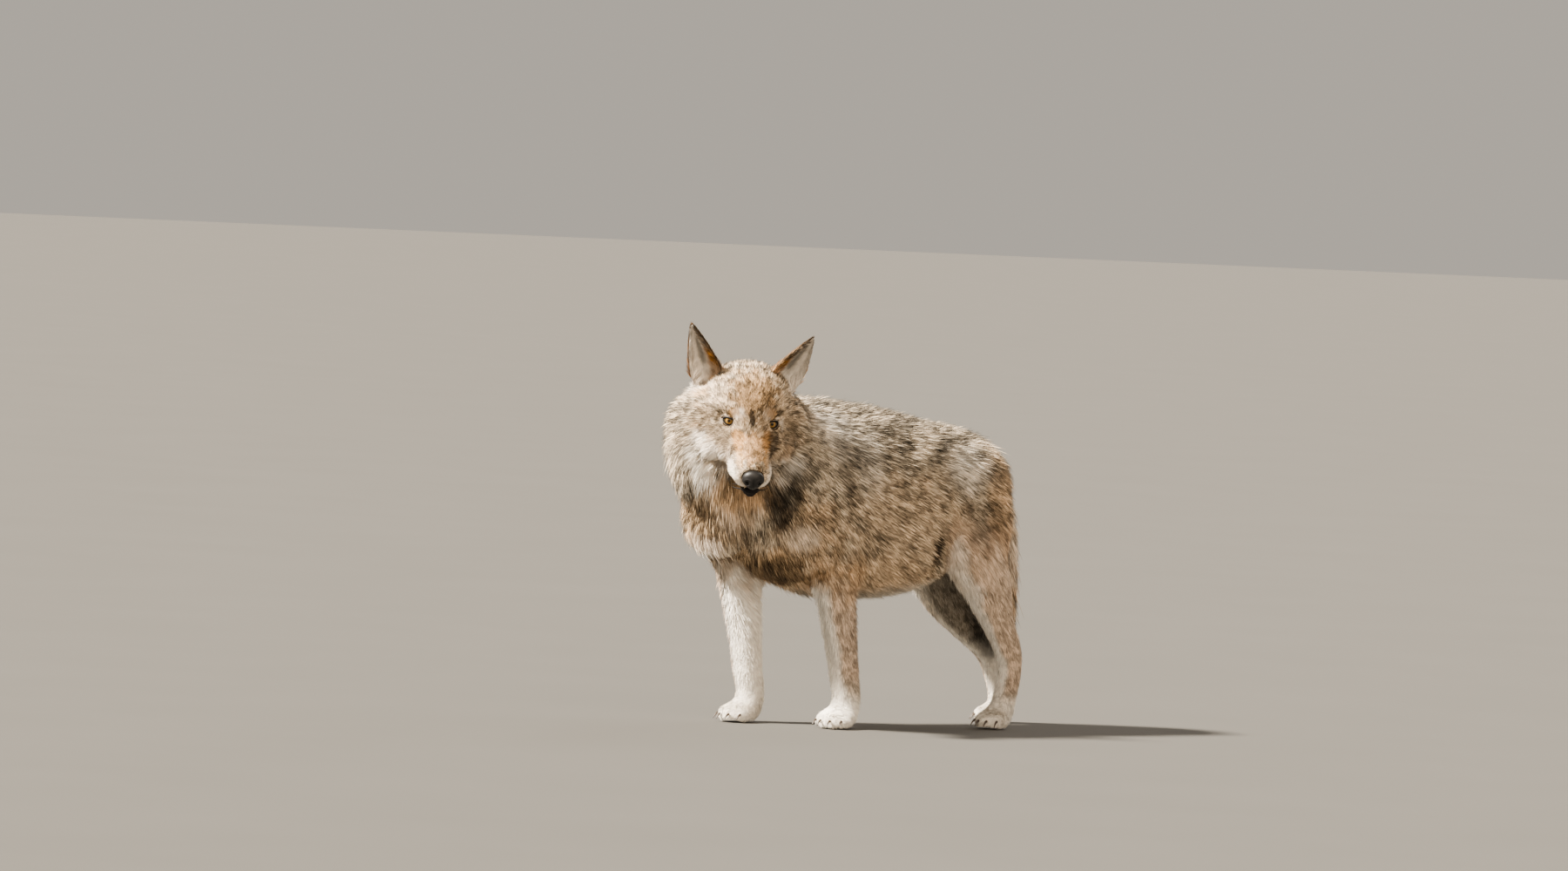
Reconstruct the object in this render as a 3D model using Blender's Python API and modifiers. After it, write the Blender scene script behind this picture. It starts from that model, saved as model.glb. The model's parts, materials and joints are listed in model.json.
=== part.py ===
"""Timber wolf, standing, life size, as solids that reach out to the tips of its coat.

The wolf faces -Y, its left side is +X and its soles are flat at Z = 0. Head, neck, trunk and
limbs are lofts and rounded masses that are fused into one skin, and the skin is then parted by
thin cuts at the joints. Ears, eyes, nose and tail are solids of their own, let into it.
Lengths are in metres and angles in degrees.
"""

import math

import bmesh
import bpy
import numpy as np
from mathutils import Matrix, Vector

# ---------------------------------------------------------------- driving dimensions
GAP = 0.0003                # clearance between neighbouring solids
VOXEL = 0.006               # grain of the fused skin
SMOOTHING = 10              # passes that blend the masses into each other
BODY_TRIANGLES = 3900       # of the fused skin before it is parted

HEAD_SCALE = 1.05           # the head's own table of sizes is drawn for a 0.27 m head
HEAD_AT = (0.130, -0.507, 0.625)   # the point midway between the eyes
HEAD_YAW = 62.0             # turned this far to the left of straight ahead
HEAD_PITCH = 29.0           # muzzle lowered
HEAD_ROLL = 2.0             # left ear lowered

EYE_RADIUS = 0.0125
EYE_SPREAD = 0.0457         # from the middle to each pupil
EYE_AHEAD = 0.003           # of the head's own origin, as is the height
EYE_HEIGHT = -0.0045
EYE_SPLAY = 24.0            # outward turn of each eye

EAR_WALL = 0.0075           # at the root, with the hair on both faces

# The middle of the finished wolf on the floor, in the frame that its tables are drawn in.
MIDDLE = (0.0356, -0.1307, 0.0)


def head_frame():
    """The matrix from the head's own axes (left, forward, up) to the wolf's. It mirrors, as forward is +Y."""
    yaw = math.radians(HEAD_YAW)
    pitch = math.radians(HEAD_PITCH)
    roll = math.radians(HEAD_ROLL)
    forward = Vector((math.sin(yaw) * math.cos(pitch), -math.cos(yaw) * math.cos(pitch), -math.sin(pitch)))
    level = Vector((math.cos(yaw), math.sin(yaw), 0.0))
    crown = forward.cross(level)
    left = level * math.cos(roll) - crown * math.sin(roll)
    up = crown * math.cos(roll) + level * math.sin(roll)
    axes = Matrix((left, forward, up)).transposed().to_4x4()
    return Matrix.Translation(HEAD_AT) @ axes @ Matrix.Scale(HEAD_SCALE, 4)


HEAD = head_frame()


# ---------------------------------------------------------------- shape tools
def new_object(name, mesh):
    obj = bpy.data.objects.new(name, mesh)
    bpy.context.scene.collection.objects.link(obj)
    return obj


def coat_material(name, colour, rough):
    material = bpy.data.materials.new(name)
    material.use_nodes = True
    shader = material.node_tree.nodes["Principled BSDF"]
    shader.inputs["Base Color"].default_value = (*colour, 1.0)
    shader.inputs["Roughness"].default_value = rough
    shader.inputs["Metallic"].default_value = 0.0
    return material


def spread(stations, steps):
    """Stations with Catmull-Rom steps between them, so that a few of them make a smooth run."""
    rows = np.array(stations, float)
    padded = np.vstack([2 * rows[0] - rows[1], rows, 2 * rows[-1] - rows[-2]])
    fine = []
    for i in range(len(rows) - 1):
        a, b, c, d = padded[i:i + 4]
        for t in np.arange(steps) / steps:
            fine.append(0.5 * (2 * b + (c - a) * t + (2 * a - 5 * b + 4 * c - d) * t ** 2
                               + (3 * b - a - 3 * c + d) * t ** 3))
    fine.append(rows[-1])
    return np.array(fine)


def loft(mass, stations, towards, square=2.2, count=24, steps=3):
    """A closed tube through stations (x, y, z, half width, reach towards, reach away).

    Its width lies along X unless the run itself does, and towards is the direction of the first reach.
    """
    rows = spread(stations, steps)
    axis = np.gradient(rows[:, :3], axis=0)
    rings = []
    for row, run in zip(rows, axis):
        run = Vector(run).normalized()
        fore = (Vector(towards) - run * run.dot(Vector(towards))).normalized()
        side = run.cross(fore)
        ring = []
        for k in range(count):
            angle = 2 * math.pi * k / count
            across = math.copysign(abs(math.cos(angle)) ** (2 / square), math.cos(angle))
            along = math.copysign(abs(math.sin(angle)) ** (2 / square), math.sin(angle))
            reach = row[4] if along > 0 else row[5]
            ring.append(mass.verts.new(Vector(row[:3]) + side * across * row[3] + fore * along * reach))
        rings.append(ring)
    for low, high in zip(rings, rings[1:]):
        for k in range(count):
            mass.faces.new((low[k], low[(k + 1) % count], high[(k + 1) % count], high[k]))
    mass.faces.new(rings[0][::-1])
    mass.faces.new(rings[-1])


def ball(mass, centre, radii, turn=(0, 0, 0), frame=None, count=16):
    """A rounded mass: an ellipsoid with its own turn, in the wolf's frame or the head's."""
    x, y, z = (math.radians(a) for a in turn)
    spin = Matrix.Rotation(z, 4, "Z") @ Matrix.Rotation(y, 4, "Y") @ Matrix.Rotation(x, 4, "X")
    place = Matrix.Translation(centre) @ spin @ Matrix.Diagonal((*radii, 1))
    if frame is not None:
        place = frame @ place
    bmesh.ops.create_uvsphere(mass, u_segments=count, v_segments=count * 5 // 8, radius=1.0, matrix=place)


def mesh_of(mass, name):
    bmesh.ops.recalc_face_normals(mass, faces=mass.faces)
    mesh = bpy.data.meshes.new(name)
    mass.to_mesh(mesh)
    mass.free()
    return mesh


def applied(obj):
    """The object with its modifiers made real."""
    graph = bpy.context.evaluated_depsgraph_get()
    mesh = bpy.data.meshes.new_from_object(obj.evaluated_get(graph))
    obj.modifiers.clear()
    obj.data = mesh
    return obj


def boolean(obj, cutter, operation="DIFFERENCE"):
    """Applies one Boolean, and removes the cutter."""
    step = obj.modifiers.new("cut", "BOOLEAN")
    step.operation = operation
    step.solver = "EXACT"
    step.object = cutter
    applied(obj)
    bpy.data.objects.remove(cutter)
    return obj


def swollen(obj, by):
    """A copy of a solid, grown along its normals, to let another solid in beside it with a gap."""
    copy = obj.copy()
    copy.data = obj.data.copy()
    bpy.context.scene.collection.objects.link(copy)
    grow = copy.modifiers.new("grow", "DISPLACE")
    grow.strength = by
    grow.mid_level = 0.0
    return applied(copy)


# ---------------------------------------------------------------- the masses of the body
def trunk(mass):
    """Deep chest, level back, tucked flank and sloping croup, front to back."""
    profile = (
        # y, height of the middle, half width, up to the back, down to the chest or belly
        (-0.462, 0.450, 0.045, 0.055, 0.055),
        (-0.445, 0.452, 0.080, 0.090, 0.095),
        (-0.400, 0.460, 0.112, 0.140, 0.150),
        (-0.300, 0.472, 0.130, 0.200, 0.203),
        (-0.200, 0.475, 0.134, 0.194, 0.213),
        (-0.090, 0.470, 0.136, 0.187, 0.208),
        (0.010, 0.478, 0.123, 0.166, 0.190),
        (0.090, 0.492, 0.106, 0.136, 0.134),
        (0.150, 0.486, 0.108, 0.116, 0.125),
        (0.192, 0.474, 0.088, 0.088, 0.108),
        (0.224, 0.462, 0.048, 0.046, 0.075),
    )
    loft(mass, [(0, y, z, w, up, down) for y, z, w, up, down in profile], (0, 0, 1), 2.3, 28)


def neck(mass):
    """The ruffed neck, which bends round to the left to carry the head."""
    loft(mass, (
        (0.000, -0.230, 0.505, 0.120, 0.160, 0.180),
        (-0.005, -0.350, 0.535, 0.138, 0.146, 0.190),
        (0.000, -0.438, 0.575, 0.152, 0.128, 0.170),
        (0.045, -0.482, 0.605, 0.135, 0.110, 0.140),
        (0.085, -0.500, 0.612, 0.105, 0.090, 0.110),
    ), (0, 0, 1), 2.1, 28)
    ball(mass, (-0.015, -0.482, 0.515), (0.108, 0.064, 0.105))    # bib under the throat
    ball(mass, (-0.055, -0.500, 0.600), (0.080, 0.070, 0.095))    # ruff outside the bend
    ball(mass, (-0.028, -0.444, 0.455), (0.118, 0.075, 0.125), (-18, 0, 0))    # breast


def shoulder(mass, side, reach):
    """Blade and upper arm of one fore limb. reach carries them forward with the leg."""
    ball(mass, (side * 0.078, reach + 0.050, 0.490), (0.056, 0.080, 0.130), (-14, 0, 0))
    ball(mass, (side * 0.086, reach - 0.024, 0.415), (0.050, 0.078, 0.115))


def fore_leg(mass, side, elbow, wrist, foot):
    """One fore leg below the chest. elbow, wrist and foot are its places along Y."""
    loft(mass, (
        (side * 0.092, elbow - 0.014, 0.400, 0.044, 0.060, 0.055),
        (side * 0.091, elbow, 0.330, 0.043, 0.052, 0.056),
        (side * 0.087, elbow * 0.70 + wrist * 0.30, 0.262, 0.038, 0.047, 0.048),
        (side * 0.080, elbow * 0.28 + wrist * 0.72, 0.170, 0.032, 0.037, 0.037),
        (side * 0.077, wrist, 0.105, 0.031, 0.034, 0.031),
        (side * 0.077, foot + 0.006, 0.058, 0.031, 0.031, 0.028),
        (side * 0.077, foot, 0.022, 0.034, 0.034, 0.024),
    ), (0, -1, 0), 2.15, 20)


def paw(mass, x, y, turn, width, length):
    """Four toes on a pad. The heel of the paw is at x, y, and turn swings the toes to the left."""
    frame = Matrix.Translation((x, y, 0)) @ Matrix.Rotation(math.radians(turn), 4, "Z")
    ball(mass, (0, -0.008, 0.022), (width * 0.50, length * 0.44, 0.026), frame=frame)
    for k, (across, ahead) in enumerate(((-0.36, 0.40), (-0.13, 0.56), (0.13, 0.56), (0.36, 0.40))):
        splay = (18, 6, -6, -18)[k]
        ball(mass, (width * across, -length * ahead, 0.0165), (width * 0.158, length * 0.24, 0.0195),
             (14, 0, splay), frame)


def hind_leg(mass, side, run):
    """One hind limb from the hip down, through run, the places along Y and Z of its centre line."""
    sizes = (
        # outward place, half width, reach forward, reach back
        (0.050, 0.056, 0.088, 0.080),
        (0.070, 0.058, 0.094, 0.090),
        (0.086, 0.050, 0.070, 0.074),
        (0.085, 0.039, 0.051, 0.056),
        (0.080, 0.029, 0.036, 0.038),
        (0.078, 0.025, 0.027, 0.036),
        (0.077, 0.025, 0.026, 0.028),
        (0.076, 0.027, 0.027, 0.026),
        (0.076, 0.031, 0.031, 0.026),
    )
    stations = [(side * x, y, z, w, fore, aft) for (x, w, fore, aft), (y, z) in zip(sizes, run)]
    loft(mass, stations, (0, -1, 0), 2.1, 20)


def head(mass):
    """Skull, muzzle, brows and cheeks in the head's own axes, the eyes at the height of its middle."""
    profile = (
        # distance ahead of the eyes, height of the middle, half width, up, down
        (0.127, -0.061, 0.019, 0.024, 0.036),
        (0.115, -0.058, 0.0285, 0.033, 0.047),
        (0.085, -0.054, 0.0335, 0.038, 0.050),
        (0.050, -0.051, 0.0380, 0.046, 0.050),
        (0.022, -0.046, 0.0455, 0.054, 0.056),
        (-0.010, -0.034, 0.0660, 0.069, 0.071),
        (-0.050, -0.024, 0.0880, 0.090, 0.086),
        (-0.090, -0.020, 0.0920, 0.098, 0.092),
        (-0.125, -0.020, 0.0840, 0.091, 0.088),
        (-0.150, -0.020, 0.0600, 0.070, 0.065),
    )
    part = bmesh.new()
    loft(part, [(0, y, z, w, up, down) for y, z, w, up, down in profile], (0, 0, 1), 2.25, 28)
    bmesh.ops.transform(part, matrix=HEAD, verts=part.verts)
    hold = bpy.data.meshes.new("hold")
    part.to_mesh(hold)
    mass.from_mesh(hold)
    bpy.data.meshes.remove(hold)
    for side in (-1, 1):
        ball(mass, (side * 0.036, -0.008, 0.021), (0.024, 0.018, 0.011), (0, side * 22, 0), HEAD)    # brow
        ball(mass, (side * 0.062, -0.030, -0.034), (0.024, 0.036, 0.022), (0, 0, 0), HEAD)           # cheekbone
        ball(mass, (side * 0.056, -0.036, -0.060), (0.044, 0.050, 0.042), (0, 0, 0), HEAD)           # cheek
        ball(mass, (side * 0.058, -0.008, -0.062), (0.034, 0.040, 0.036), (0, 0, 0), HEAD)           # jowl
        ball(mass, (side * 0.082, -0.116, -0.002), (0.031, 0.030, 0.036), (0, 0, 0), HEAD)            # behind the ear
        ball(mass, (side * 0.064, -0.124, 0.034), (0.022, 0.026, 0.024), (0, 0, 0), HEAD)            # ear root
        ball(mass, (side * 0.044, 0.014, -0.044), (0.024, 0.044, 0.036), (0, 0, 0), HEAD)            # below the eye
        ball(mass, (side * 0.080, -0.060, -0.030), (0.045, 0.045, 0.050), (0, 0, 0), HEAD)           # side whiskers
        ball(mass, (side * 0.020, 0.092, -0.060), (0.019, 0.036, 0.024), (0, 0, 0), HEAD)            # whisker pad
        ball(mass, (side * 0.026, 0.062, -0.070), (0.021, 0.040, 0.022), (0, 0, 0), HEAD)            # upper lip
    ball(mass, (0, 0.110, -0.088), (0.023, 0.024, 0.024), (0, 0, 0), HEAD)           # chin
    ball(mass, (-0.094, -0.080, -0.054), (0.060, 0.046, 0.074), (0, 14, 0), HEAD)    # ruff, fuller on the right
    ball(mass, (0.072, -0.084, -0.046), (0.044, 0.044, 0.062), (0, -14, 0), HEAD)


LEFT, RIGHT = 1, -1
FORE = {LEFT: (-0.255, -0.199, -0.196), RIGHT: (-0.362, -0.333, -0.328)}     # elbow, wrist, foot
HIND = {
    LEFT: ((0.140, 0.500), (0.118, 0.425), (0.116, 0.350), (0.150, 0.285), (0.186, 0.218),
           (0.214, 0.160), (0.223, 0.112), (0.216, 0.062), (0.208, 0.026)),
    RIGHT: ((0.145, 0.490), (0.130, 0.410), (0.135, 0.330), (0.170, 0.262), (0.222, 0.205),
            (0.277, 0.155), (0.303, 0.112), (0.322, 0.062), (0.330, 0.026)),
}
FORE_TURN = {LEFT: 24, RIGHT: 14}
HIND_TURN = {LEFT: 22, RIGHT: 4}
SIDES = {LEFT: "left", RIGHT: "right"}


def fused_body():
    """Every mass of flesh and coat in one closed skin, with its soles cut flat."""
    mass = bmesh.new()
    trunk(mass)
    neck(mass)
    head(mass)
    for side in SIDES:
        elbow, wrist, foot = FORE[side]
        shoulder(mass, side, elbow)
        fore_leg(mass, side, elbow, wrist, foot)
        paw(mass, side * 0.077, foot - 0.008, FORE_TURN[side], 0.078, 0.088)
        hind_leg(mass, side, HIND[side])
        heel = HIND[side][-1][0]
        paw(mass, side * 0.076, heel - 0.008, HIND_TURN[side], 0.070, 0.082)
    body = new_object("body", mesh_of(mass, "body"))
    fuse = body.modifiers.new("fuse", "REMESH")
    fuse.mode = "VOXEL"
    fuse.voxel_size = VOXEL
    blend = body.modifiers.new("blend", "SMOOTH")
    blend.factor = 0.5
    blend.iterations = SMOOTHING
    applied(body)
    for side in SIDES:
        mass = bmesh.new()
        ball(mass, (side * 0.050, 0.011, -0.0055), (0.017, 0.017, 0.0125), (0, side * -12, 0), HEAD)
        boolean(body, new_object("socket", mesh_of(mass, "socket")))
    thin = body.modifiers.new("thin", "DECIMATE")
    thin.ratio = BODY_TRIANGLES / sum(len(p.vertices) - 2 for p in body.data.polygons)
    applied(body)
    return flat_soled(body)


def flat_soled(body):
    """The body with what is below the floor cut away, and the cuts filled."""
    mass = bmesh.new()
    mass.from_mesh(body.data)
    geometry = mass.verts[:] + mass.edges[:] + mass.faces[:]
    cut = bmesh.ops.bisect_plane(mass, geom=geometry, dist=1e-6, plane_co=(0, 0, 0),
                                 plane_no=(0, 0, -1), clear_outer=True)
    rim = [item for item in cut["geom_cut"] if isinstance(item, bmesh.types.BMEdge)]
    bmesh.ops.edgeloop_fill(mass, edges=rim)
    bmesh.ops.triangulate(mass, faces=mass.faces)
    mass.to_mesh(body.data)
    mass.free()
    return body


# ---------------------------------------------------------------- parting the body at its joints
def region(corners, frame=None):
    """A convex block through eight or so corners, which says how far a piece reaches."""
    mass = bmesh.new()
    for corner in corners:
        mass.verts.new(corner)
    bmesh.ops.convex_hull(mass, input=mass.verts)
    if frame is not None:
        bmesh.ops.transform(mass, matrix=frame, verts=mass.verts)
    return new_object("region", mesh_of(mass, "region"))


def beyond(point, normal, frame=None):
    """Everything beyond the plane through point, on the side that normal faces."""
    turn = Vector(normal).to_track_quat("Z", "Y").to_matrix().to_4x4()
    place = Matrix.Translation(point) @ turn @ Matrix.Translation((0, 0, 0.6))
    if frame is not None:
        place = frame @ place
    mass = bmesh.new()
    bmesh.ops.create_cube(mass, size=1.2, matrix=place)
    return new_object("region", mesh_of(mass, "region"))


def carved(name, whole, block):
    """Takes the piece inside block out of whole, with a gap between them, and names it."""
    piece = whole.copy()
    piece.data = whole.data.copy()
    piece.name = name
    bpy.context.scene.collection.objects.link(piece)
    boolean(whole, swollen(block, 1.7 * GAP))     # a corner's faces move less than the corner does
    boolean(piece, block, "INTERSECT")
    return piece


def limb_region(side, inner, top, slope, low, high):
    """A block round one limb: from inner outwards, under a plane that rises outwards from top.

    low and high are its reach along Y at the floor and at its top.
    """
    outer = 0.25
    corners = []
    for (front, back), lift in ((low, None), (high, top)):
        for x in (inner, outer):
            z = -0.05 if lift is None else lift + slope * (x - inner)
            corners += [(side * x, front, z), (side * x, back, z)]
    return region(corners)


def parted(body):
    """The body as its named pieces."""
    pieces = {}
    for side, name in SIDES.items():
        elbow, wrist, foot = FORE[side]
        reach = ((foot - 0.13, foot + 0.075), (elbow - 0.075, elbow + 0.068))
        leg = carved("fore_leg_" + name, body, limb_region(side, 0.012, 0.227, 1.0, *reach))
        paw_cut = beyond((side * 0.077, wrist, 0.092), (0, 0.05, -1))
        pieces["fore_paw_" + name] = carved("fore_paw_" + name, leg, paw_cut)
        pieces["fore_leg_" + name] = leg

        run = HIND[side]
        reach = ((0.0, 0.46), (0.03, 0.30))
        thigh = carved("thigh_" + name, body, limb_region(side, 0.006, 0.335, 1.19, *reach))
        knee = (side * 0.086, run[2][0] + 0.020, run[2][1] - 0.035)
        shank = carved("hind_leg_" + name, thigh, beyond(knee, (0, 0.45, -1)))
        hock = (side * 0.078, run[5][0] - 0.004, run[5][1] + 0.004)
        pieces["hind_paw_" + name] = carved("hind_paw_" + name, shank, beyond(hock, (0, 0.62, -0.9)))
        pieces["hind_leg_" + name] = shank
        pieces["thigh_" + name] = thigh

    skull = [(x, y, z) for x in (-0.175, 0.125)
             for y, z in ((-0.112, -0.118), (-0.112, 0.20), (0.20, -0.122), (0.20, 0.20))]
    pieces["head"] = carved("head", body, region(skull, HEAD))
    jaw = [(x, y, z) for x in (-0.047, 0.047)
           for y, z in ((0.05, -0.30), (0.05, -0.081), (0.20, -0.30), (0.20, -0.084))]
    pieces["lower_jaw"] = carved("lower_jaw", pieces["head"], region(jaw, HEAD))
    pieces["neck"] = carved("neck", body, beyond((0, -0.335, 0.520), (0, -0.80, 0.60)))
    body.name = "trunk"
    pieces["trunk"] = body
    return pieces


# ---------------------------------------------------------------- tail, ears, eyes and nose
def tail():
    mass = bmesh.new()
    loft(mass, (
        (0.000, 0.150, 0.520, 0.034, 0.034, 0.034),
        (0.000, 0.190, 0.500, 0.040, 0.040, 0.040),
        (-0.001, 0.222, 0.445, 0.043, 0.043, 0.043),
        (-0.003, 0.236, 0.375, 0.044, 0.044, 0.044),
        (-0.004, 0.242, 0.300, 0.041, 0.045, 0.043),
        (-0.005, 0.252, 0.225, 0.034, 0.036, 0.036),
        (-0.005, 0.266, 0.175, 0.022, 0.022, 0.022),
        (-0.005, 0.274, 0.148, 0.007, 0.007, 0.007),
    ), (0, 1, 0), 2.0, 20, 2)
    return new_object("tail", mesh_of(mass, "tail"))


def ear(name, side, root, tip, facing, width):
    """A cupped shell: crescent rings from root to tip, open towards facing."""
    root, tip = (Vector((side * x, y, z)) for x, y, z in (root, tip))
    rise = tip - root
    up = rise.normalized()
    front = Vector((side * facing[0], facing[1], facing[2]))
    front = (front - up * up.dot(front)).normalized()
    across = up.cross(front)
    columns, rows = 8, 8
    mass = bmesh.new()
    rings = []
    for j in range(rows):
        v = j / rows
        half = width / 2 * (1 - v ** 1.8)
        cup = 0.75 * half * (1 - 0.35 * v)
        wall = EAR_WALL * (1 - 0.55 * v)
        lean = front * (-0.010 * v)
        outer = []
        inner = []
        for k in range(columns + 1):
            u = 2 * k / columns - 1
            bow = math.sqrt(max(0.0, 1 - (0.94 * u) ** 2))
            place = root + rise * v + across * half * u + lean
            outer.append(place - front * (cup * bow + wall / 2))
            inner.append(place - front * (cup * bow - wall / 2) - across * 0.12 * half * u)
        rings.append([mass.verts.new(p) for p in outer + inner[::-1]])
    count = len(rings[0])
    for low, high in zip(rings, rings[1:]):
        for k in range(count):
            mass.faces.new((low[k], low[(k + 1) % count], high[(k + 1) % count], high[k]))
    peak = mass.verts.new(tip - front * 0.010)
    for k in range(count):
        mass.faces.new((rings[-1][k], rings[-1][(k + 1) % count], peak))
    for k in range(columns):
        mirror = count - 1 - k
        mass.faces.new((rings[0][k + 1], rings[0][k], rings[0][mirror], rings[0][mirror - 1]))
    bmesh.ops.transform(mass, matrix=HEAD, verts=mass.verts)
    return new_object(name, mesh_of(mass, name))


def eye(name, side):
    gaze = Vector((side * math.sin(math.radians(EYE_SPLAY)), math.cos(math.radians(EYE_SPLAY)), 0.0))
    centre = Vector((side * EYE_SPREAD, EYE_AHEAD, EYE_HEIGHT)) - gaze * EYE_RADIUS
    mass = bmesh.new()
    ball(mass, centre, (EYE_RADIUS,) * 3, frame=HEAD, count=13)
    return new_object(name, mesh_of(mass, name))


def nose():
    """The bare nose pad on the end of the muzzle."""
    mass = bmesh.new()
    ball(mass, (0, 0.126, -0.0535), (0.0215, 0.015, 0.0170), (12, 0, 0), HEAD)
    return new_object("nose", mesh_of(mass, "nose"))


def claws(side_paw, x, y, turn, width, length):
    """Four blunt claws, fused with the toes that they grow from."""
    frame = Matrix.Translation((x, y, 0)) @ Matrix.Rotation(math.radians(turn), 4, "Z")
    for across, ahead in ((-0.38, 0.60), (-0.14, 0.76), (0.14, 0.76), (0.38, 0.60)):
        mass = bmesh.new()
        place = frame @ Matrix.Translation((width * across, -length * ahead - 0.004, 0.013))
        place = place @ Matrix.Rotation(math.radians(90 + 24), 4, "X")
        bmesh.ops.create_cone(mass, cap_ends=True, segments=6, radius1=0.0034, radius2=0.0012,
                              depth=0.018, matrix=place)
        boolean(side_paw, new_object("claw", mesh_of(mass, "claw")), "UNION")


# ---------------------------------------------------------------- assembly
COATS = {
    # colour and roughness
    "trunk": ((0.33, 0.28, 0.23), 0.85),
    "fore_leg": ((0.60, 0.50, 0.38), 0.85),
    "fore_paw": ((0.68, 0.60, 0.49), 0.85),
    "hind_leg": ((0.52, 0.40, 0.28), 0.85),
    "hind_paw": ((0.62, 0.53, 0.42), 0.85),
    "ear": ((0.40, 0.27, 0.17), 0.85),
    "lower": ((0.62, 0.56, 0.48), 0.85),
    "eye": ((0.45, 0.25, 0.05), 0.15),
    "nose": ((0.02, 0.02, 0.02), 0.45),
}


EAR_SET = {
    # root, tip and the way the cup opens, in the head's axes, and its width
    LEFT: ((0.072, -0.086, 0.038), (0.114, -0.090, 0.138), (0.55, 1.0, 0.05), 0.080),
    RIGHT: ((0.086, -0.086, 0.038), (0.131, -0.090, 0.148), (0.30, 1.0, 0.05), 0.062),
}


def build():
    for obj in list(bpy.data.objects):
        bpy.data.objects.remove(obj)
    body = fused_body()
    pieces = {"tail": tail()}
    for side, name in SIDES.items():
        pieces["ear_" + name] = ear("ear_" + name, side, *EAR_SET[side])
    for insert in pieces.values():
        boolean(insert, swollen(body, GAP))
    seats = {"nose": nose()}
    for side, name in SIDES.items():
        seats["eye_" + name] = eye("eye_" + name, side)
    for seat in seats.values():
        boolean(body, swollen(seat, GAP))
    pieces.update(seats)
    pieces.update(parted(body))
    for side, name in SIDES.items():
        claws(pieces["fore_paw_" + name], side * 0.077, FORE[side][2] - 0.008, FORE_TURN[side], 0.078, 0.088)
        claws(pieces["hind_paw_" + name], side * 0.076, HIND[side][-1][0] - 0.008, HIND_TURN[side], 0.070, 0.082)
    wolf = bpy.data.collections.new("timber_wolf")
    bpy.context.scene.collection.children.link(wolf)
    for name, obj in pieces.items():
        obj.data.transform(Matrix.Translation(MIDDLE).inverted() @ obj.matrix_world)
        obj.matrix_world = Matrix.Identity(4)
        obj.data.materials.clear()
        obj.data.materials.append(coat_material(name, *COATS.get(name.rsplit("_", 1)[0], COATS["trunk"])))
        bpy.context.scene.collection.objects.unlink(obj)
        wolf.objects.link(obj)


build()
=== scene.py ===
"""A timber wolf in its winter coat, life size: skin, coat, eyes, nose, lips, claws and whiskers.

The tables of sizes are drawn in the wolf's own axes, with the wolf facing -Y and its left side at
+X. MIDDLE moves them to the middle of the solids' box. Lengths are in metres, angles in degrees.
"""

import json
import math

import bmesh
import bpy
import numpy as np
from mathutils import Matrix, Vector
from mathutils.bvhtree import BVHTree
from mathutils.kdtree import KDTree

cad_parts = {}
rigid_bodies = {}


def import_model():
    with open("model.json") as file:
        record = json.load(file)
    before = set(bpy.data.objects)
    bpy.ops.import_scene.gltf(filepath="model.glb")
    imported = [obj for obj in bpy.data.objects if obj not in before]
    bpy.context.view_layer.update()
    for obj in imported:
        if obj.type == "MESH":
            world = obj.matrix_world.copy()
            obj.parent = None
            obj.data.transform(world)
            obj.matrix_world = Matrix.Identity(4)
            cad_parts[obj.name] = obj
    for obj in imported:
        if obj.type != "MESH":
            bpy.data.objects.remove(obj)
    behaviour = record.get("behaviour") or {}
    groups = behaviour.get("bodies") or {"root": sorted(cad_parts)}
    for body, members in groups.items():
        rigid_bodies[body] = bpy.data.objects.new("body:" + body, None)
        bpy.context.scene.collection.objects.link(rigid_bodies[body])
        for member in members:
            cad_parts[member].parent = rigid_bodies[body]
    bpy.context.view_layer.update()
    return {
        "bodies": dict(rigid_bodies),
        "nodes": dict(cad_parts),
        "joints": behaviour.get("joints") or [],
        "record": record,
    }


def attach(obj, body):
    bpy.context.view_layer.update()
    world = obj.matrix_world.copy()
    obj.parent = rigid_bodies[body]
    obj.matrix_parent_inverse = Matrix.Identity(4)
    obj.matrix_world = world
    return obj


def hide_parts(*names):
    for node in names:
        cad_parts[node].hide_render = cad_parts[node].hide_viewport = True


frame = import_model()

# ---------------------------------------------------------------- sizes shared with the solids
MIDDLE = np.array((0.0356, -0.1307, 0.0))
HEAD_SCALE = 1.05
HEAD_AT = (0.130, -0.507, 0.625)
HEAD_YAW, HEAD_PITCH, HEAD_ROLL = 62.0, 29.0, 2.0
EYE_RADIUS = 0.0125
EYE_SPREAD = 0.0457
EYE_AHEAD = 0.003
EYE_HEIGHT = -0.0045
EYE_FORWARD = 0.005      # towards the viewer from the solids' eyes, so that the lids lie flush
EYE_SPLAY = 24.0
LEFT, RIGHT = 1, -1
SIDES = {LEFT: "left", RIGHT: "right"}
FORE = {LEFT: (-0.255, -0.199, -0.196), RIGHT: (-0.362, -0.333, -0.328)}     # elbow, wrist, foot
HIND = {
    LEFT: ((0.140, 0.500), (0.118, 0.425), (0.116, 0.350), (0.150, 0.285), (0.186, 0.218),
           (0.214, 0.160), (0.223, 0.112), (0.216, 0.062), (0.208, 0.026)),
    RIGHT: ((0.145, 0.490), (0.130, 0.410), (0.135, 0.330), (0.170, 0.262), (0.222, 0.205),
            (0.277, 0.155), (0.303, 0.112), (0.322, 0.062), (0.330, 0.026)),
}
FORE_TURN = {LEFT: 24, RIGHT: 14}
HIND_TURN = {LEFT: 22, RIGHT: 4}
EAR_SET = {
    LEFT: ((0.072, -0.086, 0.038), (0.114, -0.090, 0.138), (0.55, 1.0, 0.05), 0.080),
    RIGHT: ((0.086, -0.086, 0.038), (0.131, -0.090, 0.148), (0.30, 1.0, 0.05), 0.062),
}

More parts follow.
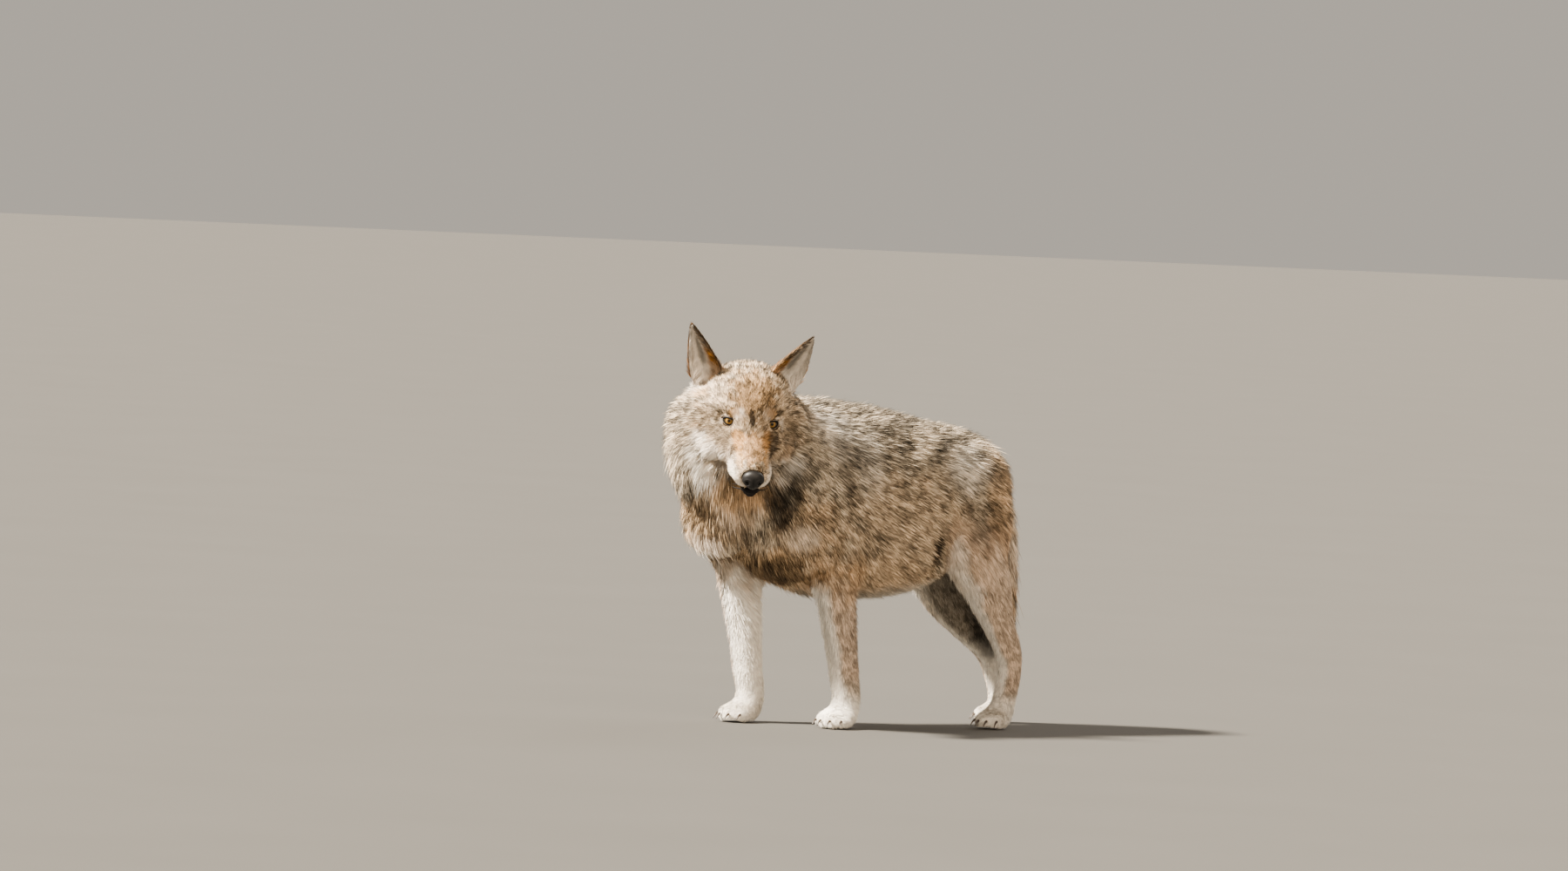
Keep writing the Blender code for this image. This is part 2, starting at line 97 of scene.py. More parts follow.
BODY_GRAIN, BODY_BLENDING = 0.006, 10      # voxel and smoothing passes of the coat's outer surface
SKIN_GRAIN, SKIN_BLENDING = 0.005, 14      # of the skin, whose voxels are halved twice on the face
TUFTS = {"face": 80000, "crown": 44000, "neck": 54000, "breast": 23000, "back": 36000, "flank": 46000,
         "haunch": 40000, "fore_leg": 42000, "hind_leg": 42000, "tail": 13000, "ear": 11000}     # each ear
DRAWS = np.random.default_rng(20)
PAWS = {"fore": (0.077, 0.078, 0.088), "hind": (0.076, 0.070, 0.082)}       # off the middle, width, length
PAW_BACK = 0.008         # from the middle of the foot to the middle of the paw


def head_frame():
    """The matrix from the head's own axes (left, forward, up) to the wolf's.

    It mirrors, as forward is +Y.
    """
    yaw, pitch, roll = (math.radians(a) for a in (HEAD_YAW, HEAD_PITCH, HEAD_ROLL))
    forward = Vector((math.sin(yaw) * math.cos(pitch), -math.cos(yaw) * math.cos(pitch), -math.sin(pitch)))
    level = Vector((math.cos(yaw), math.sin(yaw), 0.0))
    crown = forward.cross(level)
    left = level * math.cos(roll) - crown * math.sin(roll)
    up = crown * math.cos(roll) + level * math.sin(roll)
    axes = Matrix((left, forward, up)).transposed().to_4x4()
    return Matrix.Translation(HEAD_AT) @ axes @ Matrix.Scale(HEAD_SCALE, 4)


HEAD = head_frame()
HEAD_AXES = np.array(HEAD.to_3x3()) / HEAD_SCALE     # columns: left, forward, up
VIEW_TURN, VIEW_RISE, VIEW_ROLL = 54.0, 2.0, 3.0     # where the wolf is looked at from, and looks to


def view_back():
    """The way from the wolf to the viewer."""
    turn, rise = math.radians(VIEW_TURN), math.radians(VIEW_RISE)
    return Vector((math.sin(turn) * math.cos(rise), -math.cos(turn) * math.cos(rise), math.sin(rise)))


def to_head(points):
    """Points of the wolf's frame in the head's own axes and scale."""
    return (points - np.array(HEAD_AT)) @ HEAD_AXES / HEAD_SCALE


def from_head(points):
    """Points in the head's own axes and scale, in the wolf's frame."""
    return np.asarray(points) @ (HEAD_AXES * HEAD_SCALE).T + np.array(HEAD_AT)


def tree_of(points):
    """A search tree over points, by their index."""
    tree = KDTree(len(points))
    for i, p in enumerate(points):
        tree.insert(p, i)
    tree.balance()
    return tree


def unit(v):
    """Vectors brought to length one."""
    return v / np.maximum(np.linalg.norm(v, axis=-1, keepdims=True), 1e-9)


def ease(low, high, x):
    """0 below low, 1 above high, and a smooth step between."""
    t = np.clip((x - low) / (high - low), 0, 1)
    return t * t * (3 - 2 * t)


# ---------------------------------------------------------------- masses, as in the solids
def spread(stations, steps):
    """Stations with Catmull-Rom steps between them."""
    rows = np.array(stations, float)
    padded = np.vstack([2 * rows[0] - rows[1], rows, 2 * rows[-1] - rows[-2]])
    fine = []
    for i in range(len(rows) - 1):
        a, b, c, d = padded[i:i + 4]
        for t in np.arange(steps) / steps:
            fine.append(0.5 * (2 * b + (c - a) * t + (2 * a - 5 * b + 4 * c - d) * t ** 2
                               + (3 * b - a - 3 * c + d) * t ** 3))
    fine.append(rows[-1])
    return np.array(fine)


def loft_rings(stations, towards, square, count, steps):
    """Rings of a tube through stations (x, y, z, half width, reach towards, reach away)."""
    rows = spread(stations, steps)
    axis = unit(np.gradient(rows[:, :3], axis=0))
    fore = unit(np.array(towards, float) - axis * (axis @ np.array(towards, float))[:, None])
    side = np.cross(axis, fore)
    angle = 2 * np.pi * np.arange(count) / count
    across = np.sign(np.cos(angle)) * np.abs(np.cos(angle)) ** (2 / square)
    along = np.sign(np.sin(angle)) * np.abs(np.sin(angle)) ** (2 / square)
    reach = np.where(along[None, :] > 0, rows[:, 4:5], rows[:, 5:6])
    rings = (rows[:, None, :3] + side[:, None, :] * (across[None, :, None] * rows[:, None, 3:4])
             + fore[:, None, :] * (along[None, :] * reach)[:, :, None])
    return rings, axis


class Masses:
    """Lofts and balls gathered in one mesh. Bare ones are drawn in by the depth of the coat."""

    def __init__(self, bare):
        self.mesh = bmesh.new()
        self.bare = bare

    def draw_in(self, points, middles):
        """Points moved towards the middles of their masses by the coat's depth on them."""
        if not self.bare:
            return points
        depth = coat_at(points)[1][:, 1:2]
        inward = middles - points
        far = np.linalg.norm(inward, axis=1, keepdims=True)
        return points + inward * np.minimum(depth / np.maximum(far, 1e-6), 0.6)

    def loft(self, stations, towards, square=2.2, count=24, in_head=False):
        """A tube through stations, with both ends capped."""
        rings, axis = loft_rings(stations, towards, square, count, 3)
        if in_head:
            rings, axis = from_head(rings), axis @ HEAD_AXES.T
        if self.bare:
            ends = coat_at(rings[[0, -1]].mean(1))[1][:, 1]
            t = np.linspace(0, 1, len(rings))
            rings = rings + (axis * (ends[0] * (1 - t) - ends[1] * t)[:, None])[:, None]
        middles = np.broadcast_to(rings.mean(1, keepdims=True), rings.shape).reshape(-1, 3)
        rings = self.draw_in(rings.reshape(-1, 3), middles).reshape(rings.shape)
        made = [[self.mesh.verts.new(p) for p in ring] for ring in rings]
        for low, high in zip(made, made[1:]):
            for k in range(count):
                self.mesh.faces.new((low[k], low[(k + 1) % count], high[(k + 1) % count], high[k]))
        self.mesh.faces.new(made[0][::-1])
        self.mesh.faces.new(made[-1])

    def ball(self, centre, radii, turn=(0, 0, 0), frame=None, count=24):
        """An ellipsoid, turned by degrees about X, Y and Z, in the wolf's frame or another."""
        x, y, z = (math.radians(a) for a in turn)
        spin = Matrix.Rotation(z, 4, "Z") @ Matrix.Rotation(y, 4, "Y") @ Matrix.Rotation(x, 4, "X")
        place = Matrix.Translation(centre) @ spin @ Matrix.Diagonal((*radii, 1))
        if frame is not None:
            place = frame @ place
        made = bmesh.ops.create_uvsphere(self.mesh, u_segments=count, v_segments=count * 5 // 8, radius=1.0,
                                         matrix=place)["verts"]
        points = np.array([v.co for v in made])
        for vert, point in zip(made, self.draw_in(points, np.array(place.translation)[None])):
            vert.co = point


def trunk(mass):
    """The trunk, from the breast back to the rump."""
    profile = (
        (-0.462, 0.450, 0.045, 0.055, 0.055),
        (-0.445, 0.452, 0.080, 0.090, 0.095),
        (-0.400, 0.460, 0.112, 0.140, 0.150),
        (-0.300, 0.472, 0.130, 0.200, 0.203),
        (-0.200, 0.475, 0.134, 0.194, 0.213),
        (-0.090, 0.470, 0.136, 0.187, 0.208),
        (0.010, 0.478, 0.123, 0.166, 0.190),
        (0.090, 0.492, 0.106, 0.136, 0.134),
        (0.150, 0.486, 0.108, 0.116, 0.125),
        (0.192, 0.474, 0.088, 0.088, 0.108),
        (0.224, 0.462, 0.048, 0.046, 0.075),
    )
    mass.loft([(0, y, z, w, up, down) for y, z, w, up, down in profile], (0, 0, 1), 2.3, 36)


def neck(mass):
    """The neck with its ruff, turned to the wolf's left, and the breast below it."""
    mass.loft((
        (0.000, -0.230, 0.505, 0.120, 0.160, 0.180),
        (-0.005, -0.350, 0.535, 0.138, 0.146, 0.190),
        (0.000, -0.438, 0.575, 0.152, 0.128, 0.170),
        (0.045, -0.482, 0.605, 0.135, 0.110, 0.140),
        (0.085, -0.500, 0.612, 0.105, 0.090, 0.110),
    ), (0, 0, 1), 2.1, 36)
    mass.ball((-0.015, -0.482, 0.515), (0.108, 0.064, 0.105))
    mass.ball((-0.055, -0.500, 0.600), (0.080, 0.070, 0.095))
    mass.ball((-0.028, -0.444, 0.455), (0.118, 0.075, 0.125), (-18, 0, 0))


def shoulder(mass, side, reach):
    """A shoulder blade and upper arm, above a leg that stands at reach."""
    mass.ball((side * 0.078, reach + 0.050, 0.490), (0.056, 0.080, 0.130), (-14, 0, 0))
    mass.ball((side * 0.086, reach - 0.024, 0.415), (0.050, 0.078, 0.115))


def fore_leg(mass, side, elbow, wrist, foot):
    """A fore leg down to the foot. Elbow, wrist and foot say how far back each is."""
    mass.loft((
        (side * 0.092, elbow - 0.014, 0.400, 0.044, 0.060, 0.055),
        (side * 0.091, elbow, 0.330, 0.043, 0.052, 0.056),
        (side * 0.087, elbow * 0.70 + wrist * 0.30, 0.262, 0.038, 0.047, 0.048),
        (side * 0.080, elbow * 0.28 + wrist * 0.72, 0.170, 0.032, 0.037, 0.037),
        (side * 0.077, wrist, 0.105, 0.031, 0.034, 0.031),
        (side * 0.077, foot + 0.006, 0.058, 0.031, 0.031, 0.028),
        (side * 0.077, foot, 0.022, 0.034, 0.034, 0.024),
    ), (0, -1, 0), 2.15, 24)


def paw_frames(side):
    """The places of one side's paws on the ground, fore and hind, each with its width and length."""
    feet = {"fore": (FORE[side][2], FORE_TURN[side]), "hind": (HIND[side][-1][0], HIND_TURN[side])}
    for name, (y, turn) in feet.items():
        x, width, length = PAWS[name]
        place = Matrix.Translation((side * x, y - PAW_BACK, 0))
        yield place @ Matrix.Rotation(math.radians(turn), 4, "Z"), width, length


def paw(mass, place, width, length):
    """The ball of a paw and its four toes, fanned out."""
    mass.ball((0, -0.008, 0.022), (width * 0.50, length * 0.44, 0.026), frame=place)
    for across, ahead, fan in ((-0.36, 0.40, 18), (-0.13, 0.56, 6), (0.13, 0.56, -6), (0.36, 0.40, -18)):
        mass.ball((width * across, -length * ahead, 0.0165), (width * 0.158, length * 0.24, 0.0195),
                  (14, 0, fan), place)


def hind_leg(mass, side, run):
    """A hind leg from thigh to foot, along a run of places back and up."""
    sizes = (
        (0.050, 0.056, 0.088, 0.080),
        (0.070, 0.058, 0.094, 0.090),
        (0.086, 0.050, 0.070, 0.074),
        (0.085, 0.039, 0.051, 0.056),
        (0.080, 0.029, 0.036, 0.038),
        (0.078, 0.025, 0.027, 0.036),
        (0.077, 0.025, 0.026, 0.028),
        (0.076, 0.027, 0.027, 0.026),
        (0.076, 0.031, 0.031, 0.026),
    )
    stations = [(side * x, y, z, w, fore, aft) for (x, w, fore, aft), (y, z) in zip(sizes, run)]
    mass.loft(stations, (0, -1, 0), 2.1, 24)


# The head's balls on both sides, as (place on the left, radii, lean outwards), in the head's axes.
HEAD_BALLS = (
    ((0.036, -0.008, 0.021), (0.024, 0.018, 0.011), 22),       # brow
    ((0.062, -0.030, -0.034), (0.024, 0.036, 0.022), 0),       # cheekbone
    ((0.056, -0.036, -0.060), (0.044, 0.050, 0.042), 0),       # cheek
    ((0.058, -0.008, -0.062), (0.034, 0.040, 0.036), 0),
    ((0.082, -0.116, -0.002), (0.031, 0.030, 0.036), 0),       # side of the skull
    ((0.064, -0.124, 0.034), (0.022, 0.026, 0.024), 0),        # foot of the ear
    ((0.044, 0.014, -0.044), (0.024, 0.044, 0.036), 0),        # cheek below the eye
    ((0.080, -0.060, -0.030), (0.045, 0.045, 0.050), 0),
    ((0.020, 0.092, -0.060), (0.019, 0.036, 0.024), 0),        # upper lip
    ((0.026, 0.062, -0.070), (0.021, 0.040, 0.022), 0),
)


def head(mass):
    """The skull and muzzle, and the balls of brow, cheeks, lips, chin and ruff on them."""
    profile = (
        (0.127, -0.061, 0.019, 0.024, 0.036),
        (0.115, -0.058, 0.0285, 0.033, 0.047),
        (0.085, -0.054, 0.0335, 0.038, 0.050),
        (0.050, -0.051, 0.0380, 0.046, 0.050),
        (0.022, -0.046, 0.0455, 0.054, 0.056),
        (-0.010, -0.034, 0.0660, 0.069, 0.071),
        (-0.050, -0.024, 0.0880, 0.090, 0.086),
        (-0.090, -0.020, 0.0920, 0.098, 0.092),
        (-0.125, -0.020, 0.0840, 0.091, 0.088),
        (-0.150, -0.020, 0.0600, 0.070, 0.065),
    )
    mass.loft([(0, y, z, w, up, down) for y, z, w, up, down in profile], (0, 0, 1), 2.25, 36, True)
    for side in (RIGHT, LEFT):
        for (x, y, z), radii, lean in HEAD_BALLS:
            mass.ball((side * x, y, z), radii, (0, side * lean, 0), HEAD)
    mass.ball((0, 0.110, -0.0885), (0.0265, 0.0245, 0.0215), frame=HEAD)                 # chin
    mass.ball((-0.094, -0.080, -0.054), (0.060, 0.046, 0.074), (0, 14, 0), HEAD)         # right ruff
    mass.ball((0.072, -0.084, -0.046), (0.044, 0.044, 0.062), (0, -14, 0), HEAD)         # left ruff


TAIL_RUN = (
    (0.000, 0.150, 0.520, 0.034, 0.034, 0.034),
    (0.000, 0.190, 0.500, 0.040, 0.040, 0.040),
    (-0.001, 0.222, 0.445, 0.043, 0.043, 0.043),
    (-0.003, 0.236, 0.375, 0.044, 0.044, 0.044),
    (-0.004, 0.242, 0.300, 0.041, 0.045, 0.043),
    (-0.005, 0.252, 0.225, 0.034, 0.036, 0.036),
    (-0.005, 0.266, 0.175, 0.022, 0.022, 0.022),
    (-0.005, 0.274, 0.148, 0.007, 0.007, 0.007),
)


# ---------------------------------------------------------------- surfaces as arrays
def in_two(quads):
    """Quads cut into triangles."""
    return np.concatenate([quads[:, [0, 1, 2]], quads[:, [0, 2, 3]]])


def between(rows, others):
    """The quads between rows of points that close into rings."""
    return np.stack([rows, np.roll(rows, -1, 1), np.roll(others, -1, 1), others], -1).reshape(-1, 4)


def ring_faces(count, sides):
    """The triangles of a tube of count rings, with both ends capped."""
    index = np.arange(count * sides).reshape(count, sides)
    first, last = index[0], index[-1]
    caps = [(first[0], first[k + 1], first[k]) for k in range(1, sides - 1)]
    caps += [(last[0], last[k], last[k + 1]) for k in range(1, sides - 1)]
    return np.concatenate([in_two(between(index[:-1], index[1:])), np.array(caps)])


def arrays_of(mesh):
    """A mesh's points and its triangles."""
    points = np.empty(len(mesh.vertices) * 3)
    mesh.vertices.foreach_get("co", points)
    mesh.calc_loop_triangles()
    faces = np.empty(len(mesh.loop_triangles) * 3, np.int32)
    mesh.loop_triangles.foreach_get("vertices", faces)
    return points.reshape(-1, 3), faces.reshape(-1, 3)


def normals_of(points, faces):
    """The points' normals, from the faces round them by area."""
    cross = np.cross(points[faces[:, 1]] - points[faces[:, 0]], points[faces[:, 2]] - points[faces[:, 0]])
    total = np.zeros_like(points)
    for k in range(3):
        np.add.at(total, faces[:, k], cross)
    return unit(total)


def softened(values, faces, passes, share=0.5):
    """Values of the points, each moved a share of the way to its neighbours' mean, some passes over."""
    ends = np.concatenate([faces[:, [0, 1]], faces[:, [1, 2]], faces[:, [2, 0]]])
    ends = np.concatenate([ends, ends[:, ::-1]])
    count = np.bincount(ends[:, 0], minlength=len(values)).astype(float)
    flat = values.reshape(len(values), -1)
    for _ in range(passes):
        mean = np.stack([np.bincount(ends[:, 0], weights=flat[ends[:, 1], k], minlength=len(flat))
                         for k in range(flat.shape[1])], axis=1) / np.maximum(count, 1)[:, None]
        flat = flat + share * (mean - flat)
    return flat.reshape(values.shape)


def fused(bare, grain, passes):
    """The body's masses, all but the tail and ears, fused into one blended surface."""
    mass = Masses(bare)
    trunk(mass)
    neck(mass)
    head(mass)
    for side in SIDES:
        elbow, wrist, foot = FORE[side]
        shoulder(mass, side, elbow)
        fore_leg(mass, side, elbow, wrist, foot)
        fore_paw, hind_paw = paw_frames(side)
        paw(mass, *fore_paw)
        hind_leg(mass, side, HIND[side])
        paw(mass, *hind_paw)
    bmesh.ops.recalc_face_normals(mass.mesh, faces=mass.mesh.faces)
    mesh = bpy.data.meshes.new("body")
    mass.mesh.to_mesh(mesh)
    mass.mesh.free()
    body = bpy.data.objects.new("body", mesh)
    bpy.context.scene.collection.objects.link(body)
    fuse = body.modifiers.new("fuse", "REMESH")
    fuse.mode = "VOXEL"
    fuse.voxel_size = grain
    blend = body.modifiers.new("blend", "SMOOTH")
    blend.factor = 0.5
    blend.iterations = passes
    made = bpy.data.meshes.new_from_object(body.evaluated_get(bpy.context.evaluated_depsgraph_get()))
    bpy.data.objects.remove(body)
    return made


# Boxes in the head's axes whose skin is halved in size once each: the face, and then its front.
FINER = (
    ((-0.095, -0.075, -0.135), (0.095, 0.150, 0.065)),
    ((-0.074, -0.022, -0.112), (0.074, 0.150, 0.030)),
)
FACE_PASSES, DEEP_PASSES = 34, 60      # smoothing of the face, and of what lies under deep coat
SOLE_HEIGHT = 0.0015


def bare_body():
    """The skin's points and faces, finer on the face, and how far each is below the coat's outer surface."""
    mass = bmesh.new()
    mass.from_mesh(fused(True, SKIN_GRAIN, SKIN_BLENDING))
    for low, high in FINER:
        centres = to_head(np.array([f.calc_center_median() for f in mass.faces]))
        inside = np.all((centres > low) & (centres < high), axis=1)
        edges = list({e for f, near in zip(mass.faces, inside) if near for e in f.edges})
        bmesh.ops.subdivide_edges(mass, edges=edges, cuts=1, use_grid_fill=True)
    bmesh.ops.triangulate(mass, faces=[f for f in mass.faces if len(f.verts) > 4])
    finer = bpy.data.meshes.new("finer")
    mass.to_mesh(finer)
    mass.free()
    points, faces = arrays_of(finer)
    ahead = to_head(points)[:, 1]
    face = ease(-0.09, -0.06, ahead)[:, None]
    points = points + face * (softened(points, faces, FACE_PASSES) - points)
    deep = ease(0.010, 0.022, coat_at(points)[1][:, 1])[:, None]
    points = points + deep * (softened(points, faces, DEEP_PASSES) - points)
    points[:, 2] = np.maximum(points[:, 2], SOLE_HEIGHT)
    outline = fused(False, BODY_GRAIN, BODY_BLENDING)
    corners, sides = arrays_of(outline)
    tree = BVHTree.FromPolygons(corners.tolist(), sides.tolist())
    return points, faces, np.array([tree.find_nearest(p)[3] for p in points.tolist()])


# ---------------------------------------------------------------- the lie of the coat
# The coat on the head, in the head's axes, as (place, reach, lie, length, depth, hair width). Rows off
# the middle are for both sides, and the last three numbers are in millimetres.
HEAD_GUIDES = (
    ((0, 0.118, -0.026), 0.016, (0.0, -1, 0.1), 5, 2.0, 0.8),
    ((0, 0.070, -0.012), 0.018, (0.0, -1, 0.2), 7, 2.5, 0.8),
    ((0.030, 0.105, -0.060), 0.016, (0.5, -1, -0.25), 6, 2.5, 0.8),
    ((0.038, 0.065, -0.055), 0.018, (0.3, -1, -0.25), 9, 3.0, 0.9),
    ((0, 0.105, -0.102), 0.018, (0.0, -1, -0.3), 9, 4.0, 0.9),
    ((0.030, 0.060, -0.100), 0.018, (0.3, -1, -0.5), 14, 5.0, 1.0),
    ((0, 0.020, 0.010), 0.018, (0.0, -0.8, 0.8), 9, 3.5, 0.9),
    ((0.030, 0.022, -0.010), 0.012, (0.4, -0.8, 0.2), 7, 3.0, 0.8),
    ((0.048, 0.010, -0.022), 0.014, (0.8, -0.6, -0.4), 8, 3.5, 0.9),
    ((0.036, 0.002, 0.024), 0.014, (0.3, -0.6, 0.9), 10, 4.0, 0.9),
    ((0.068, -0.012, 0.004), 0.016, (0.9, -0.9, 0.1), 12, 5.0, 1.0),
    ((0, -0.030, 0.066), 0.026, (0.0, -0.6, 0.9), 14, 6.0, 1.1),
    ((0.050, -0.045, 0.055), 0.026, (0.35, -0.8, 0.6), 16, 7.0, 1.1),
    ((0, -0.090, 0.090), 0.030, (0.0, -1, 0.2), 24, 10, 1.3),
    ((0.068, -0.020, -0.040), 0.022, (0.8, -0.8, -0.5), 18, 8.0, 1.1),
    ((0.070, 0.000, -0.075), 0.024, (0.8, -0.6, -0.9), 24, 10, 1.2),
    ((0.095, -0.060, 0.015), 0.026, (0.8, -0.8, -0.4), 26, 11, 1.3),
    ((0.075, -0.095, 0.060), 0.022, (0.3, -0.7, 0.5), 20, 8.0, 1.1),
    ((0.120, -0.070, -0.050), 0.034, (0.9, -0.8, -0.8), 46, 24, 1.6),
    ((0, 0.020, -0.125), 0.030, (0.0, -0.4, -1), 30, 13, 1.3),
    ((0.102, -0.092, 0.024), 0.016, (0.5, -0.2, 0.8), 30, 9, 1.2),
)


def guides():
    """Where the coat's lie, length, depth and hair width are known. Between them they blend.

    Each is (place, reach, lie, length, depth, width), and the last three are in millimetres.
    """
    rows = []

    def at(places, reach, lie, length, depth, width, in_head=False):
        """Adds guides. The lie is as on the left, and turns over for a place on the right."""
        for place in places:
            lean = np.array(lie, float)
            if place[0] < 0:
                lean = lean * (-1, 1, 1)
            if in_head:
                rows.append((from_head(place), reach * HEAD_SCALE, HEAD_AXES @ lean, length, depth, width))
            else:
                rows.append((np.array(place, float), reach, lean, length, depth, width))

    def pair(x, y, z):
        return (x, y, z), (-x, y, z)

    for place, *rest in HEAD_GUIDES:
        at(pair(*place) if place[0] else [place], *rest, in_head=True)
    # the neck and trunk
    at([(0, -0.42, 0.72), (0, -0.34, 0.68)], 0.060, (0, 1, -0.3), 56, 26, 1.9)
    at(pair(0.130, -0.39, 0.56), 0.070, (0.1, 0.7, -0.8), 58, 28, 1.9)
    at([(-0.100, -0.53, 0.55), (-0.08, -0.52, 0.46)], 0.060, (0.2, 0.2, -1), 58, 28, 1.9)
    at([(0.060, -0.50, 0.46), (0.020, -0.53, 0.50)], 0.060, (0, 0.05, -1), 56, 27, 1.9)
    at([(0, -0.48, 0.38)], 0.060, (0, 0.5, -1), 52, 25, 1.9)
    at([(0, -0.33, 0.28)], 0.060, (0, 1, -0.5), 42, 20, 1.8)
    at([(0, -0.24, 0.67)], 0.070, (0, 1, -0.1), 58, 24, 1.9)
    at([(0, -0.05, 0.65)], 0.090, (0, 1, -0.05), 48, 21, 1.8)
    at([(0, 0.12, 0.60)], 0.070, (0, 1, -0.3), 46, 20, 1.8)
    at(pair(0.080, 0.19, 0.50), 0.060, (0.1, 0.7, -0.8), 42, 18, 1.8)
    at(pair(0.120, -0.30, 0.48), 0.070, (0, 0.7, -0.8), 46, 20, 1.8)
    at(pair(0.130, -0.10, 0.50), 0.090, (0, 1, -0.55), 46, 20, 1.8)
    at(pair(0.120, -0.08, 0.36), 0.080, (0, 1, -0.6), 50, 22, 1.8)
    at([(0, -0.10, 0.27)], 0.070, (0, 1, -0.3), 44, 20, 1.8)
    at(pair(0.115, 0.05, 0.44), 0.060, (0, 0.9, -0.7), 40, 17, 1.7)
    for side in SIDES:
        elbow, wrist, foot = FORE[side]
        run = HIND[side]
        at([(side * 0.125, elbow, 0.37)], 0.040, (0.05, 0.35, -1), 30, 12, 1.5)
        at([(side * 0.090, elbow + 0.05, 0.34)], 0.030, (0, 0.6, -1), 30, 12, 1.4)
        at([(side * 0.110, elbow * 0.7 + wrist * 0.3, 0.26)], 0.036, (0, 0.15, -1), 20, 7.5, 1.3)
        at([(side * 0.080, elbow * 0.3 + wrist * 0.7, 0.17)], 0.036, (0, 0.1, -1), 15, 5.5, 1.2)
        at([(side * 0.077, wrist, 0.09)], 0.026, (0, 0.05, -1), 12, 4.5, 1.1)
        at([(side * 0.077, foot - 0.02, 0.03)], 0.026, (0, -0.8, -0.7), 9, 3.5, 1.0)
        at([(side * 0.130, run[1][0], 0.43)], 0.060, (0, 0.6, -1), 36, 15, 1.6)
        at([(side * 0.030, run[1][0], 0.38)], 0.045, (0, 0.4, -1), 26, 11, 1.5)
        at([(side * 0.090, run[2][0], run[2][1])], 0.040, (0, 0.45, -1), 28, 11, 1.5)
        at([(side * 0.085, run[4][0], run[4][1])], 0.034, (0, 0.5, -1), 20, 7.5, 1.3)
        at([(side * 0.078, run[5][0], run[5][1])], 0.028, (0, 0.2, -1), 14, 5.5, 1.2)
        at([(side * 0.077, run[7][0], run[7][1])], 0.028, (0, 0, -1), 11, 4.5, 1.1)
        at([(side * 0.076, run[8][0] - 0.03, 0.025)], 0.026, (0, -0.8, -0.7), 9, 3.5, 1.0)
    places, reach, lie, length, depth, width = (np.array(c, float) for c in zip(*rows))
    return places, reach, unit(lie), np.column_stack([length, depth, width]) / 1000


def coat_at(points):
    """The lie before it is laid on the skin, and the length, depth and hair width, at each point."""
    places, reach, lie, sizes = GUIDES
    gap = ((points[:, None, :] - places[None]) ** 2).sum(2) / (2 * reach ** 2)
    weight = np.exp(-np.minimum(gap, 40)) + 1e-12 / (1 + gap)
    weight /= weight.sum(1, keepdims=True)
    return weight @ lie, weight @ sizes


def laid(lie, normals):
    """The lie turned into the skin."""
    return unit(lie - normals * (lie * normals).sum(1, keepdims=True))


GUIDES = guides()


# ---------------------------------------------------------------- markings
def ripple(points, size, seed):
    """Smooth uneven values of about -1 to 1 that vary over size metres."""
    draws = np.random.default_rng(seed)
    total = np.zeros(len(points))
    for _ in range(9):
        way = draws.normal(size=3)
        way = way / np.linalg.norm(way) * (2 * np.pi / size) * draws.uniform(0.6, 1.9)
        total += np.sin(points @ way + draws.uniform(0, 6.28)) / 2.6
    return np.clip(total, -1.4, 1.4)


BOTH, ONE = (LEFT, RIGHT), (LEFT,)

